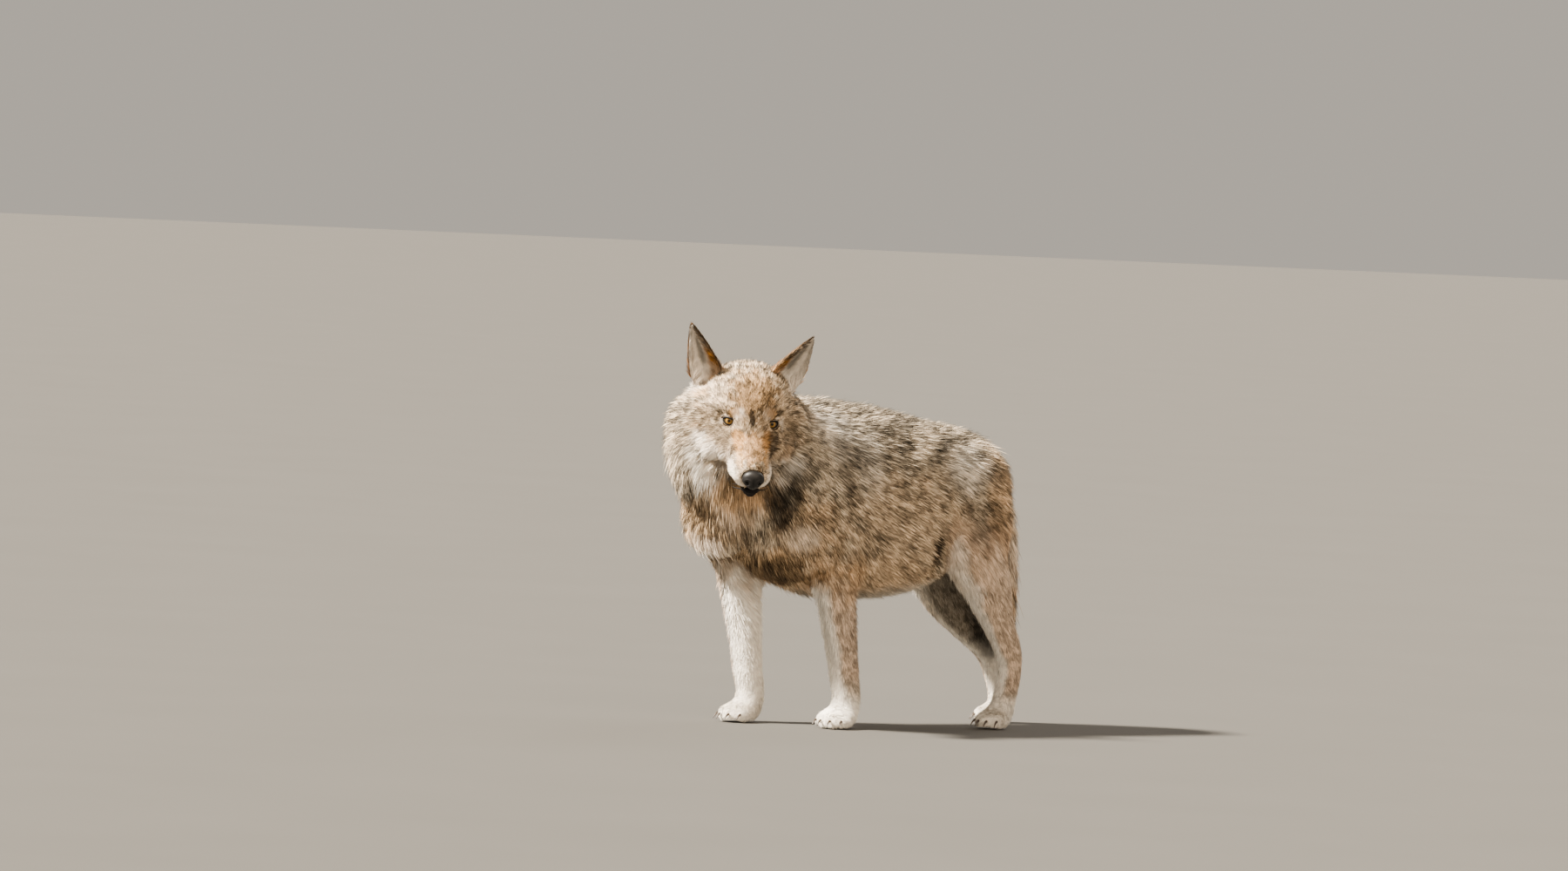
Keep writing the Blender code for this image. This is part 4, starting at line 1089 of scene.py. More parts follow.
def ear_skin(side):
    """An ear's skin: a thin cupped shell, short behind and with long hair inside."""
    root, tip, facing = (np.array(v, float) for v in EAR_SET[side][:3])
    root, tip, facing = root * (side, 1, 1), tip * (side, 1, 1), facing * (side, 1, 1)
    rise = (tip - root) * 0.985
    up = unit(rise)
    front = unit(facing - up * (up @ facing))
    across = np.cross(up, front)
    points = from_head(ear_shell(root, rise, across, front, EAR_SET[side][3]))
    faces = shell_faces(EAR_ROWS, EAR_COLUMNS)
    normals = normals_of(points, faces)
    count = len(points) // 2
    if (normals[:count] @ (HEAD_AXES @ -front)).mean() < 0:
        faces = faces[:, ::-1]
        normals = -normals
    v = np.tile(np.repeat(np.linspace(EAR_FOOT, 1, EAR_ROWS + 1), EAR_COLUMNS + 1), 2)
    u = np.tile(np.linspace(-1, 1, EAR_COLUMNS + 1), 2 * (EAR_ROWS + 1))
    within = np.arange(len(points)) >= count
    upward = HEAD_AXES @ up
    sideways = HEAD_AXES @ across
    lie_back = np.tile(upward, (len(points), 1)) + 0.15 * u[:, None] * sideways
    lie_in = (0.75 * upward)[None] - 0.85 * u[:, None] * sideways + 0.5 * (HEAD_AXES @ front)[None]
    lie = np.where(within[:, None], lie_in, lie_back)
    lie = laid(lie, normals)
    edge, up_ear = np.abs(u), v.clip(0)
    foot = 1 - ease(0.0, 0.35, v)
    long_hair = 0.010 + 0.017 * ease(0.3, 0.9, edge) * (1 - 0.7 * up_ear)
    length = np.where(within, long_hair, 0.009 + 0.006 * (1 - up_ear)) + 0.012 * foot
    depth = np.where(within, 0.004 + 0.005 * edge * (1 - up_ear), 0.0028) + 0.003 * foot
    sizes = np.column_stack([length, depth, np.where(within, 0.0010, 0.0009)])
    flat = np.column_stack([0.5 * (u + 1) / 2 + 0.5 * within, v])
    return {"points": points, "faces": faces, "normals": normals, "lie": lie, "sizes": sizes,
            "bare": np.zeros(len(points)), "nohair": (within & (v > 0.985)) | (v < -0.36),
            "within": within, "along": v, "edge": u * (-side) * np.sign(across[0]),
            "zone": np.full(len(points), ZONES.index("ear")), "outer": points, "flat": flat}


def ear_colours(part, channels):
    """The ears' own markings: white inside, a dark rim with orange at its inner foot, rusty behind, and
    painted shade darkening the hollow inside.
    """
    within, v, medial = part["within"], part["along"], part["edge"]
    edge = np.abs(medial)
    rim = ease(0.72, 0.95, edge) * ease(0.05, 0.30, v)
    foot = ease(0.30, 0.85, medial) * (1 - ease(0.35, 0.60, v))
    # painted shade darkening the hollow inside the ear
    hollow_shade = (1 - ease(0.10, 0.50, np.abs(medial - 0.05))) * ease(0.02, 0.20, v) * (1 - ease(0.60, 0.85, v))
    rim = rim * np.where(medial > 0, 1.0, 0.35)
    channels["pale"] = np.where(within, 1 - 0.75 * rim - 0.6 * foot, 0.10)
    channels["rust"] = np.where(within, 0.85 * foot + 0.2 * rim, 0.60 * (1 - 0.4 * v))
    # the rim's dark is the coat's own; the hollow's dark is painted shade
    rim_dark_and_hollow_shade = np.maximum(0.85 * rim * (1 - foot), 0.62 * hollow_shade)
    channels["dark"] = np.where(within, rim_dark_and_hollow_shade, 0.45 * ease(0.45, 1.0, v) + 0.5 * rim)
    channels["grizzle"] = np.where(within, 0.10, 0.45)
    channels["warm"] = np.where(within, 0.15 + 0.5 * foot, 0.6)
    return channels


# ---------------------------------------------------------------- growing the coat
STEPS = 4                          # points along a hair
RISE = (0, 0.52, 0.84, 1.0)        # how far up through the coat each of them is
CLUMP_SPACING = (0.17, 0.001)      # of hairs that lean together: a share of their length, and more
PATCH_SPACING = (0.40, 0.003)      # of stretches of one tone
LENGTHS = (0.72, 1.08)             # of tufts, as shares of the coat's own length there
LONG_SHARE, LONG_BY = 0.09, (1.05, 1.25)
STRAY = 0.075                      # how far tips swing sideways, as a share of the length
LIFT = (0.005, 0.040)              # how far tips stand out: the mean and the spread
STAND_SHARE, STAND_BY = 0.07, (0.05, 0.16)


def guide_hairs(part):
    """One hair at each point of the skin, which follows the lie over the skin and rises through the coat."""
    points, normals, lie, sizes = part["points"], part["normals"], part["lie"], part["sizes"]
    hairs = np.empty((len(points), STEPS, 3))
    hairs[:, 0] = points
    foot = points.copy()
    here_lie, here_normal, here_depth = lie, normals, sizes[:, 1]
    tree = None
    if "within" not in part:
        tree = tree_of(points)
    for k in range(1, STEPS):
        foot = foot + here_lie * (sizes[:, 0] * 0.93 / (STEPS - 1))[:, None]
        if tree is not None:
            near = np.array([tree.find(p)[1] for p in foot])
            off = ((foot - points[near]) * normals[near]).sum(1, keepdims=True)
            foot = foot - normals[near] * off
            here_lie = unit(0.5 * here_lie + 0.5 * lie[near])
            here_normal = unit(0.5 * here_normal + 0.5 * normals[near])
            here_depth = 0.5 * here_depth + 0.5 * sizes[near, 1]
        hairs[:, k] = foot + here_normal * (here_depth * RISE[k])[:, None]
    return hairs


def areas(points, faces):
    """The faces' areas."""
    corner = points[faces]
    return np.linalg.norm(np.cross(corner[:, 1] - corner[:, 0], corner[:, 2] - corner[:, 0]), axis=1) / 2


def clumps(points, faces, spacing):
    """The clump centre nearest to each point, as the index of a point. Spacing is given at each point."""
    share = np.repeat(areas(points, faces) / 3, 3)
    weight = np.bincount(faces.ravel(), weights=share, minlength=len(points)) / spacing ** 2
    count = min(max(8, int(weight.sum())), len(points) // 2)
    seeds = DRAWS.choice(len(points), count, replace=False, p=weight / weight.sum())
    tree = tree_of(points[seeds])
    return seeds[np.array([tree.find(p)[1] for p in points])]


def shares(part):
    """How many tufts each face of the skin has, as a number with a fraction."""
    faces, mean = part["faces"], part["sizes"][part["faces"]].mean(1)
    want = areas(part["points"], faces) / (mean[:, 0] * mean[:, 2]) ** 0.92
    want = np.where(part["nohair"][faces].any(1), 0, want)
    zone = part["zone"][faces[:, 0]]
    for index, name in enumerate(ZONES):
        mine = zone == index
        if mine.any():
            want[mine] *= TUFTS[name] / want[mine].sum()
    return want


def grow(part, channels):
    """Tufts over one part of the skin: their curves, widths, channels, zones and places on the unwrap."""
    points, faces, sizes = part["points"], part["faces"], part["sizes"]
    hairs = guide_hairs(part)
    clump = clumps(points, faces, CLUMP_SPACING[0] * sizes[:, 0] + CLUMP_SPACING[1])
    patch = clumps(points, faces, PATCH_SPACING[0] * sizes[:, 0] + PATCH_SPACING[1])
    want = shares(part)
    number = np.floor(want + DRAWS.random(len(want))).astype(int)
    face = np.repeat(np.arange(len(faces)), number)
    total = len(face)
    mix = DRAWS.random((total, 2))
    flip = mix.sum(1) > 1
    mix[flip] = 1 - mix[flip]
    mix = np.column_stack([1 - mix.sum(1), mix])
    corners = faces[face]

    def at_root(values):
        flat = values.reshape(len(values), -1)
        return np.einsum("tk,tkc->tc", mix, flat[corners]).reshape((total,) + values.shape[1:])

    curve = at_root(hairs)
    size = at_root(sizes)
    normal = unit(at_root(part["normals"]))
    nearest = corners[np.arange(total), mix.argmax(1)]
    middle = clump[nearest]
    step = np.linspace(0, 1, STEPS)
    lean = curve[:, :1] - hairs[middle][:, :1]
    far = np.linalg.norm(lean[:, 0], axis=1)
    pull = np.clip(0.62 - 12 * np.maximum(far - 0.012, 0), 0, 0.62) * ease(0.012, 0.035, size[:, 0])
    towards = hairs[middle] + lean * 0.25
    curve = curve + (towards - curve) * (pull[:, None] * step[None] ** 1.4)[:, :, None]
    scale = DRAWS.uniform(*LENGTHS, total)
    long_ones = DRAWS.random(total) < LONG_SHARE
    scale[long_ones] *= DRAWS.uniform(*LONG_BY, long_ones.sum())
    curve = curve[:, :1] + (curve - curve[:, :1]) * scale[:, None, None]
    side = unit(np.cross(curve[:, -1] - curve[:, 0], normal))
    stray = DRAWS.normal(0, STRAY, total) * size[:, 0]
    lift = DRAWS.normal(*LIFT, total)
    lift = lift + np.where(DRAWS.random(total) < STAND_SHARE, DRAWS.uniform(*STAND_BY, total), 0)
    swing = (side * stray[:, None])[:, None] * (step ** 1.6)[None, :, None]
    swing = swing + (normal * (lift * size[:, 0])[:, None])[:, None] * (step ** 1.5)[None, :, None]
    curve = curve + swing
    tone = DRAWS.random(len(points))
    shade = 0.5 + 0.50 * (tone[patch[nearest]] - 0.5) + 0.90 * (tone[middle] - 0.5)
    shade = np.clip(shade + 0.45 * (DRAWS.random(total) - 0.5), 0, 1)
    ways = {name: at_root(values) for name, values in channels.items()}
    flat = part["flat"] if "flat" in part else unwrap(part["outer"], part["zone"])
    zone = part["zone"][corners[:, 0]]
    on_head = np.isin(zone, [ZONES.index(name) for name in ("face", "crown", "ear")])
    left = np.where(on_head, to_head(curve[:, 0])[:, 0], curve[:, 0, 0]) > 0
    size = size * np.column_stack([scale, np.ones(total), DRAWS.uniform(0.7, 1.25, total)])
    return {"curve": curve, "size": size, "normal": normal, "shade": shade, "channels": ways,
            "flat": flat[corners[:, 0]], "zone": zone, "left": left}


BAKE_EDGE, BAKE_SPAN, BAKE_PATCH = 0.004, 0.990, 0.003     # the OFBake map's margin, span and patch


def tuft_mesh(name, tufts, chosen, joints):
    """The chosen tufts as one mesh of tapering blades bent at some joints, with colours and a bake map."""
    curve = tufts["curve"][chosen]
    size = tufts["size"][chosen]
    normal = tufts["normal"][chosen]
    total = len(curve)
    if joints == 1:
        curve = np.stack([curve[:, 0], (curve[:, 1] + curve[:, 2]) / 2, curve[:, 3]], 1)
    steps = joints + 1
    run = unit(np.gradient(curve, axis=1))
    side = unit(np.cross(run, normal[:, None]))
    twist = DRAWS.uniform(-0.55, 0.55, total)[:, None, None]
    blade = unit(side * np.cos(twist) + normal[:, None] * np.sin(twist))
    taper = np.array((0.75, 1.0, 0.72))[:steps]
    half = size[:, 2][:, None, None] * taper[None, :, None] / 2
    foot, offset = curve[:, :steps], blade[:, :steps] * half
    pairs = np.stack([foot + offset, foot - offset], 2)
    points = np.concatenate([pairs.reshape(total, 2 * steps, 3), curve[:, steps:]], axis=1)
    count = 2 * steps + 1
    starts = range(0, count - 3, 2)
    pattern = [(a, a + 1, a + 3) for a in starts] + [(a, a + 3, a + 2) for a in starts]
    pattern = np.array(pattern + [(count - 3, count - 2, count - 1)])
    outward = np.cross(points[:, 1] - points[:, 0], points[:, 3] - points[:, 0])
    right_way = (outward * normal).sum(1) > 0
    faces = pattern[None] + count * np.arange(total)[:, None, None]
    faces = np.where(right_way[:, None, None], faces, faces[:, :, ::-1]).reshape(-1, 3)
    along = np.append(np.repeat(np.arange(steps) / steps, 2), 1)
    across = np.append(np.tile((-0.5, 0.5), steps), 0)
    flank = np.cross(run, blade)
    flank = flank * np.sign((flank * normal[:, None]).sum(2, keepdims=True) + 1e-9)
    lit = unit(0.5 * normal[:, None] + 0.5 * flank)
    lit = np.concatenate([np.repeat(lit[:, :steps], 2, 1), lit[:, steps:]], 1)
    ways = {key: values[chosen] for key, values in tufts["channels"].items()}
    first = np.column_stack([ways["pale"], ways["rust"], ways["dark"], ways["grizzle"]])
    second = np.column_stack([np.zeros(total), tufts["shade"][chosen], ways["warm"], np.zeros(total)])
    first = np.repeat(first[:, None], count, 1)
    second = np.repeat(second[:, None], count, 1)
    second[:, :, 0] = along
    flat = tufts["flat"][chosen]
    low, high = flat.min(0), flat.max(0)
    flat = BAKE_EDGE + BAKE_SPAN * (flat - low) / np.maximum(high - low, 1e-6)
    patch = np.stack([np.tile(across, (total, 1)), np.tile(along, (total, 1))], -1)
    patch = flat[:, None] + BAKE_PATCH * patch
    return mesh_piece(name, points.reshape(-1, 3), faces, first.reshape(-1, 4), second.reshape(-1, 4),
                      patch.reshape(-1, 2), lit.reshape(-1, 3))


def mesh_piece(name, points, faces, first=None, second=None, flat=None, lit=None):
    """A mesh from arrays in the wolf's frame, moved to the solids' frame."""
    mesh = bpy.data.meshes.new(name)
    mesh.vertices.add(len(points))
    mesh.vertices.foreach_set("co", (points - MIDDLE).astype(np.float32).ravel())
    mesh.loops.add(len(faces) * 3)
    mesh.loops.foreach_set("vertex_index", faces.astype(np.int32).ravel())
    mesh.polygons.add(len(faces))
    mesh.polygons.foreach_set("loop_start", np.arange(0, len(faces) * 3, 3, dtype=np.int32))
    mesh.polygons.foreach_set("use_smooth", np.ones(len(faces), bool))
    mesh.update()
    for label, values in (("coat_marks", first), ("coat_hair", second)):
        if values is not None:
            layer = mesh.attributes.new(label, "FLOAT_COLOR", "POINT")
            layer.data.foreach_set("color", values.astype(np.float32).ravel())
    if flat is not None:
        layer = mesh.uv_layers.new(name="OFBake")
        layer.data.foreach_set("uv", flat[faces.ravel()].astype(np.float32).ravel())
    if lit is not None:
        layer = mesh.attributes.new("custom_normal", "FLOAT_VECTOR", "POINT")
        layer.data.foreach_set("vector", lit.astype(np.float32).ravel())
    obj = bpy.data.objects.new(name, mesh)
    bpy.context.scene.collection.objects.link(obj)
    return obj


# ---------------------------------------------------------------- materials
def linear(code):
    """A hex colour as the linear values that a shader takes."""
    parts = [int(code[i:i + 2], 16) / 255 for i in (1, 3, 5)]
    return tuple(c / 12.92 if c <= 0.04045 else ((c + 0.055) / 1.055) ** 2.4 for c in parts) + (1.0,)


def add(tree, kind, settings=(), **links):
    """Adds one node with its settings, and links or sets its inputs by name or number."""
    node = tree.nodes.new(kind)
    for key, value in dict(settings).items():
        setattr(node, key, value)
    for key, value in links.items():
        by_number = key[0] == "i" and key[1:].isdigit()
        socket = node.inputs[int(key[1:]) if by_number else key.replace("_", " ")]
        if isinstance(value, bpy.types.NodeSocket):
            tree.links.new(value, socket)
        else:
            socket.default_value = value
    return node


def blank(name, roughness, specular=0.5):
    """A new material with its tree and Principled shader."""
    material = bpy.data.materials.new(name)
    material.use_nodes = True
    shader = material.node_tree.nodes["Principled BSDF"]
    shader.inputs["Roughness"].default_value = roughness
    shader.inputs["Specular IOR Level"].default_value = specular
    return material, material.node_tree, shader


def bump(tree, shader, height, strength, distance, invert=False):
    """A bump of some strength and depth from a texture, on the shader."""
    node = add(tree, "ShaderNodeBump", {"invert": invert}, Strength=strength, Distance=distance,
               Height=height)
    tree.links.new(node.outputs[0], shader.inputs["Normal"])


def grained(name, roughness, specular, low, high, texture="ShaderNodeTexNoise", **settings):
    """A material whose tone runs between two colours over a texture that is fixed to the piece."""
    material, tree, shader = blank(name, roughness, specular)
    place = add(tree, "ShaderNodeTexCoord").outputs["Object"]
    grain = add(tree, texture, Vector=place, **settings).outputs[0]
    tree.links.new(mixed(tree, grain, linear(low), linear(high)), shader.inputs["Base Color"])
    return material, tree, shader, grain


def mixed(tree, factor, low, high):
    """A colour between low and high."""
    node = add(tree, "ShaderNodeMix", {"data_type": "RGBA"})
    for socket, value in ((node.inputs[0], factor), (node.inputs[6], low), (node.inputs[7], high)):
        if isinstance(value, bpy.types.NodeSocket):
            tree.links.new(value, socket)
        else:
            socket.default_value = value
    return node.outputs[2]


def sums(tree, operation, a, b, clamp=False):
    """One step of arithmetic. MULTIPLY_ADD gives a * b + 1."""
    node = add(tree, "ShaderNodeMath", {"operation": operation, "use_clamp": clamp}, i0=a, i1=b)
    if operation == "MULTIPLY_ADD":
        node.inputs[2].default_value = 1.0
    return node.outputs[0]


def ranged(tree, value, low, high, at_low, at_high, smooth=True):
    """A value that runs from at_low to at_high while another runs from low to high."""
    kind = {"interpolation_type": "SMOOTHSTEP" if smooth else "LINEAR"}
    return add(tree, "ShaderNodeMapRange", kind, Value=value, From_Min=low, From_Max=high,
               To_Min=at_low, To_Max=at_high).outputs[0]


HAIR = {
    "under": linear("#46392c"),      # woolly grey-fawn undercoat
    "fawn": linear("#634627"),       # warm flanks
    "band": linear("#cfc0a9"),       # pale band of a guard hair
    "tip": linear("#060504"),        # black tip of a guard hair
    "dark": linear("#0b0806"),
    "rust": linear("#a06e2c"),
    "pale": linear("#fbf5ea"),
    "cream": linear("#cba474"),
}


def coat_colour(tree, along):
    """The wolf's colours from its markings, for a place along a hair from 0 to 1, with painted shade
    darkening each hair towards its root.
    """
    marks = add(tree, "ShaderNodeAttribute", {"attribute_name": "coat_marks"})
    hair = add(tree, "ShaderNodeAttribute", {"attribute_name": "coat_hair"})
    split = add(tree, "ShaderNodeSeparateColor", {"mode": "RGB"}, i0=marks.outputs["Color"]).outputs
    pale, rust, dark, grizzle = split[0], split[1], split[2], marks.outputs["Alpha"]
    other = add(tree, "ShaderNodeSeparateColor", {"mode": "RGB"}, i0=hair.outputs["Color"]).outputs
    shade, warm = other[1], other[2]
    if along is None:
        along = other[0]
    colour = mixed(tree, warm, HAIR["under"], HAIR["fawn"])
    band = add(tree, "ShaderNodeValToRGB", i0=along)
    band.color_ramp.elements[0].position, band.color_ramp.elements[0].color = 0.30, (0, 0, 0, 1)
    band.color_ramp.elements[1].position, band.color_ramp.elements[1].color = 0.52, (1, 1, 1, 1)
    late = band.color_ramp.elements.new(0.74)
    late.color = (1, 1, 1, 1)
    end = band.color_ramp.elements.new(0.86)
    end.color = (0.25, 0.25, 0.25, 1)
    pale_band = sums(tree, "MULTIPLY", band.outputs[0], sums(tree, "MULTIPLY_ADD", grizzle, 0.15), True)
    colour = mixed(tree, pale_band, colour, mixed(tree, warm, HAIR["band"], HAIR["cream"]))
    colour = mixed(tree, rust, colour, HAIR["rust"])
    white = mixed(tree, sums(tree, "MULTIPLY", warm, 0.8), HAIR["pale"], HAIR["cream"])
    colour = mixed(tree, pale, colour, white)
    colour = mixed(tree, sums(tree, "MULTIPLY", dark, 0.96), colour, HAIR["dark"])
    tipped = ranged(tree, along, 0.62, 0.92, 0.0, 1.0)
    some = ranged(tree, shade, 0.40, 0.60, 0.0, 1.0)
    tipped = sums(tree, "MULTIPLY", sums(tree, "MULTIPLY", tipped, grizzle), some)
    colour = mixed(tree, tipped, colour, HAIR["tip"])
    bright = ranged(tree, shade, 0.0, 1.0, 0.62, -0.66, smooth=False)
    bright = sums(tree, "MULTIPLY", bright, sums(tree, "MULTIPLY_ADD", pale, -0.75))
    bright = sums(tree, "ADD", bright, 1.0)
    # painted shade: each hair is darkened towards its root, where the coat shades itself, and less so on
    # pale hair
    root = ranged(tree, along, 0.0, 0.50, -0.58, 0.0)
    root = sums(tree, "ADD", sums(tree, "MULTIPLY", root, sums(tree, "MULTIPLY_ADD", pale, -0.70)), 1.0)
    bright = sums(tree, "MULTIPLY", bright, root)
    return add(tree, "ShaderNodeHueSaturation", Value=bright, Color=colour).outputs[0]


def fur_material():
    """Guard hair and underfur: keratin, with painted shade darkening each hair towards its root, and a soft
    sheen where it lies smooth.
    """
    material, tree, shader = blank("guard_hair", 0.7, 0.08)
    tree.links.new(coat_colour(tree, None), shader.inputs["Base Color"])
    return material


def skin_material():
    """Hide under the fur: the coat's own colours and the painted shade at the hairs' roots, with the fine
    grain of short hair that lies flat.
    """
    material, tree, shader = blank("furred_hide", 0.75, 0.25)
    place = add(tree, "ShaderNodeTexCoord").outputs["Object"]
    fine = add(tree, "ShaderNodeTexNoise", i0=place, Scale=650.0, Detail=3.0).outputs[0]     # 1.5 mm hairs
    fur = coat_colour(tree, ranged(tree, fine, 0.3, 0.7, 0.1, 0.8, smooth=False))
    hair = add(tree, "ShaderNodeAttribute", {"attribute_name": "coat_hair"})
    colour = mixed(tree, hair.outputs["Alpha"], fur, linear("#16110f"))
    tree.links.new(colour, shader.inputs["Base Color"])
    bump(tree, shader, fine, 0.5, 0.0012)
    return material


def nose_material():
    """Rhinarium: bare black skin, pebbled every millimetre and moist."""
    material, tree, shader, cells = grained("moist_nose_leather", 0.48, 0.35, "#080707", "#110f0f",
                                            "ShaderNodeTexVoronoi", Scale=900.0)
    bump(tree, shader, cells, 0.35, 0.0004, invert=True)
    shader.inputs["Coat Weight"].default_value = 0.06
    shader.inputs["Coat Roughness"].default_value = 0.2
    return material


def lip_material():
    """Lips and lid edges: smooth black skin, slightly moist."""
    material, tree, shader, creases = grained("black_lip_skin", 0.6, 0.15, "#090707", "#151110",
                                              Scale=500.0, Detail=2.0)
    bump(tree, shader, creases, 0.3, 0.0004)
    return material


def claw_material():
    """Horn: dark grey-brown, mottled with paler brown."""
    return grained("claw_horn", 0.38, 0.5, "#241d19", "#54463b", Scale=420.0, Detail=3.0)[0]


def whisker_material():
    """Stiff black whisker hair."""
    return grained("whisker_bristle", 0.45, 0.5, "#14100e", "#2c2420", Scale=200.0)[0]


def eye_material():
    """An eye: black pupil, amber iris with radial fibres and a dark ring, under a clear wet cornea."""
    material, tree, shader = blank("amber_eye", 0.4, 0.0)
    ring = add(tree, "ShaderNodeAttribute", {"attribute_name": "eye_ring"})
    split = add(tree, "ShaderNodeSeparateColor", {"mode": "RGB"}, i0=ring.outputs["Color"]).outputs
    out, turn = split[0], split[1]
    place = add(tree, "ShaderNodeCombineXYZ", X=sums(tree, "MULTIPLY", turn, 60.0),
                Y=sums(tree, "MULTIPLY", out, 6.0)).outputs[0]
    spokes = add(tree, "ShaderNodeTexNoise", {"noise_dimensions": "2D"}, Vector=place, Scale=1.0, Detail=2.0)
    iris = mixed(tree, spokes.outputs[0], linear("#5f4318"), linear("#b98f45"))
    ramp = add(tree, "ShaderNodeValToRGB", i0=out)
    ramp.color_ramp.elements[0].position, ramp.color_ramp.elements[0].color = 0.0, (0.02, 0.02, 0.02, 1)
    ramp.color_ramp.elements[1].position, ramp.color_ramp.elements[1].color = 0.205, (0.02, 0.02, 0.02, 1)
    for position, value in ((0.235, 0.55), (0.36, 0.9), (0.54, 0.8), (0.62, 0.10), (0.75, 0.04),
                            (0.92, 0.14)):
        element = ramp.color_ramp.elements.new(position)
        element.color = (value, value, value, 1)
    colour = add(tree, "ShaderNodeMix", {"data_type": "RGBA", "blend_type": "MULTIPLY"})
    colour.inputs[0].default_value = 1.0
    tree.links.new(iris, colour.inputs[6])
    tree.links.new(ramp.outputs[0], colour.inputs[7])
    tree.links.new(colour.outputs[2], shader.inputs["Base Color"])
    shader.inputs["Coat Weight"].default_value = 1.0
    shader.inputs["Coat Roughness"].default_value = 0.03
    shader.inputs["Coat IOR"].default_value = 1.376
    return material


def floor_material():
    """Matt grey studio floor."""
    return grained("studio_floor", 0.9, 0.5, "#45433f", "#4a4844", Scale=2.0)[0]


# ---------------------------------------------------------------- the bare pieces
def tube(line, radii, sides=8):
    """A closed tube along a line, in arrays."""
    line = np.asarray(line, float)
    radii = np.broadcast_to(radii, len(line))[:, None, None]
    run = unit(np.gradient(line, axis=0))
    guide = np.tile((0.0, 0.0, 1.0), (len(line), 1)) + run[:, [1, 2, 0]] * 0.3
    a = unit(np.cross(run, guide))
    b = np.cross(run, a)
    turn = (2 * np.pi * np.arange(sides) / sides)[None, :, None]
    rings = line[:, None] + radii * (a[:, None] * np.cos(turn) + b[:, None] * np.sin(turn))
    return rings.reshape(-1, 3), ring_faces(len(line), sides)


def facing_out(points, faces):
    """Faces turned so that the closed surface has a positive volume."""
    corner = points[faces] - points.mean(0)
    volume = (corner[:, 0] * np.cross(corner[:, 1], corner[:, 2])).sum()
    return faces if volume > 0 else faces[:, ::-1]


def joined(parts):
    """Closed surfaces as one, each with its faces outward."""
    points, faces, start = [], [], 0
    for p, f in parts:
        points.append(p)
        faces.append(facing_out(p, f) + start)
        start += len(p)
    return np.concatenate(points), np.concatenate(faces)


def globe(rows, columns):
    """A unit sphere with its poles at +Y and -Y, in arrays."""
    polar = np.linspace(0, np.pi, rows + 1)[1:-1]
    turn = 2 * np.pi * np.arange(columns) / columns
    p, t = np.meshgrid(polar, turn, indexing="ij")
    ring = np.stack([np.sin(p) * np.cos(t), np.cos(p), np.sin(p) * np.sin(t)], -1).reshape(-1, 3)
    points = np.concatenate([[(0, 1, 0)], ring, [(0, -1, 0)]])
    index = 1 + np.arange(len(ring)).reshape(len(polar), columns)
    beside = np.roll(index, -1, 1)
    near_cap = np.stack([np.zeros(columns, int), beside[0], index[0]], -1)
    far_cap = np.stack([np.full(columns, len(points) - 1), index[-1], beside[-1]], -1)
    return points, np.concatenate([in_two(between(index[:-1], index[1:])), near_cap, far_cap])


CORNEA_BULGE, CORNEA_EDGE = 0.045, (0.40, 0.72)     # a share of the radius; turns from the eye's front


def make_eye(side):
    """An eyeball with a bulging cornea, and for its colours how far each point is round from its front."""
    points, faces = globe(40, 48)
    polar = np.arccos(np.clip(points[:, 1], -1, 1))
    turn = np.arctan2(points[:, 2], points[:, 0]) / (2 * np.pi) + 0.5
    bulge = 1 + CORNEA_BULGE * (1 - ease(*CORNEA_EDGE, polar))
    centre, gaze, out, up = eye_frame(side, 0.7)
    local = centre + (points * bulge[:, None] * EYE_RADIUS) @ np.stack([out, gaze, up])
    placed = from_head(local)
    obj = mesh_piece("eye_" + SIDES[side] + "_ball", placed, facing_out(placed, faces))
    layer = obj.data.attributes.new("eye_ring", "FLOAT_COLOR", "POINT")
    rings = np.column_stack([np.minimum(polar, 1.0), turn, np.zeros(len(points)), np.ones(len(points))])
    layer.data.foreach_set("color", rings.astype(np.float32).ravel())
    return obj


def make_lids():
    """The black edges of the lids round each eye, thickest above and at the corners."""
    parts = []
    angle = np.linspace(0, 2 * np.pi, 73)
    across, rise = lid_line(angle)
    upper = np.maximum(np.sin(angle), 0)
    for side in SIDES:
        centre, gaze, out, up = eye_frame(side)
        way = (np.cos(rise) * np.cos(across))[:, None] * gaze
        way = way + (np.cos(rise) * np.sin(across))[:, None] * out + np.sin(rise)[:, None] * up
        line = from_head(centre + way * (EYE_RADIUS + 0.0004 + 0.0014 * upper[:, None]))
        parts.append(tube(line, 0.0010 + 0.0006 * upper + 0.0005 * np.abs(np.cos(angle)) ** 6))
    return mesh_piece("lid_edges", *joined(parts))


LIP_ROWS = 19           # of the mouth's line on each side: further back it is only a dark line in the coat
LIP_RADIUS = 0.0030
LIP_DROP = 0.0040       # from the upper lip down to the lower
LIP_RAISED = 0.0018     # off the skin, where that is within LIP_REACH
LIP_REACH = 0.012


def make_lips(surface):
    """Upper and lower lip edges, laid on the muzzle's skin."""
    points, normals, tree = surface
    right, left = (lip_line(side)[:LIP_ROWS] for side in (RIGHT, LEFT))
    mouth = np.concatenate([right[::-1], left[1:]])
    parts = []
    for drop in (0.0, LIP_DROP):
        line = from_head(mouth - (0, 0, drop))
        for i, p in enumerate(line):
            near = tree.find(p)[1]
            off = (p - points[near]) @ normals[near]
            if abs(off) < LIP_REACH:
                line[i] = p - normals[near] * (off - LIP_RAISED)
        for _ in range(3):
            line[1:-1] = (line[:-2] + 2 * line[1:-1] + line[2:]) / 4
        ends = np.sin(np.linspace(0, np.pi, len(line))) ** 0.8
        parts.append(tube(line, np.maximum(LIP_RADIUS * ends, 0.0003)))
    return mesh_piece("lips", *joined(parts))


NOSE_RADII = (0.0216, 0.0160, 0.0190)
NOSE_TILT = math.radians(12)


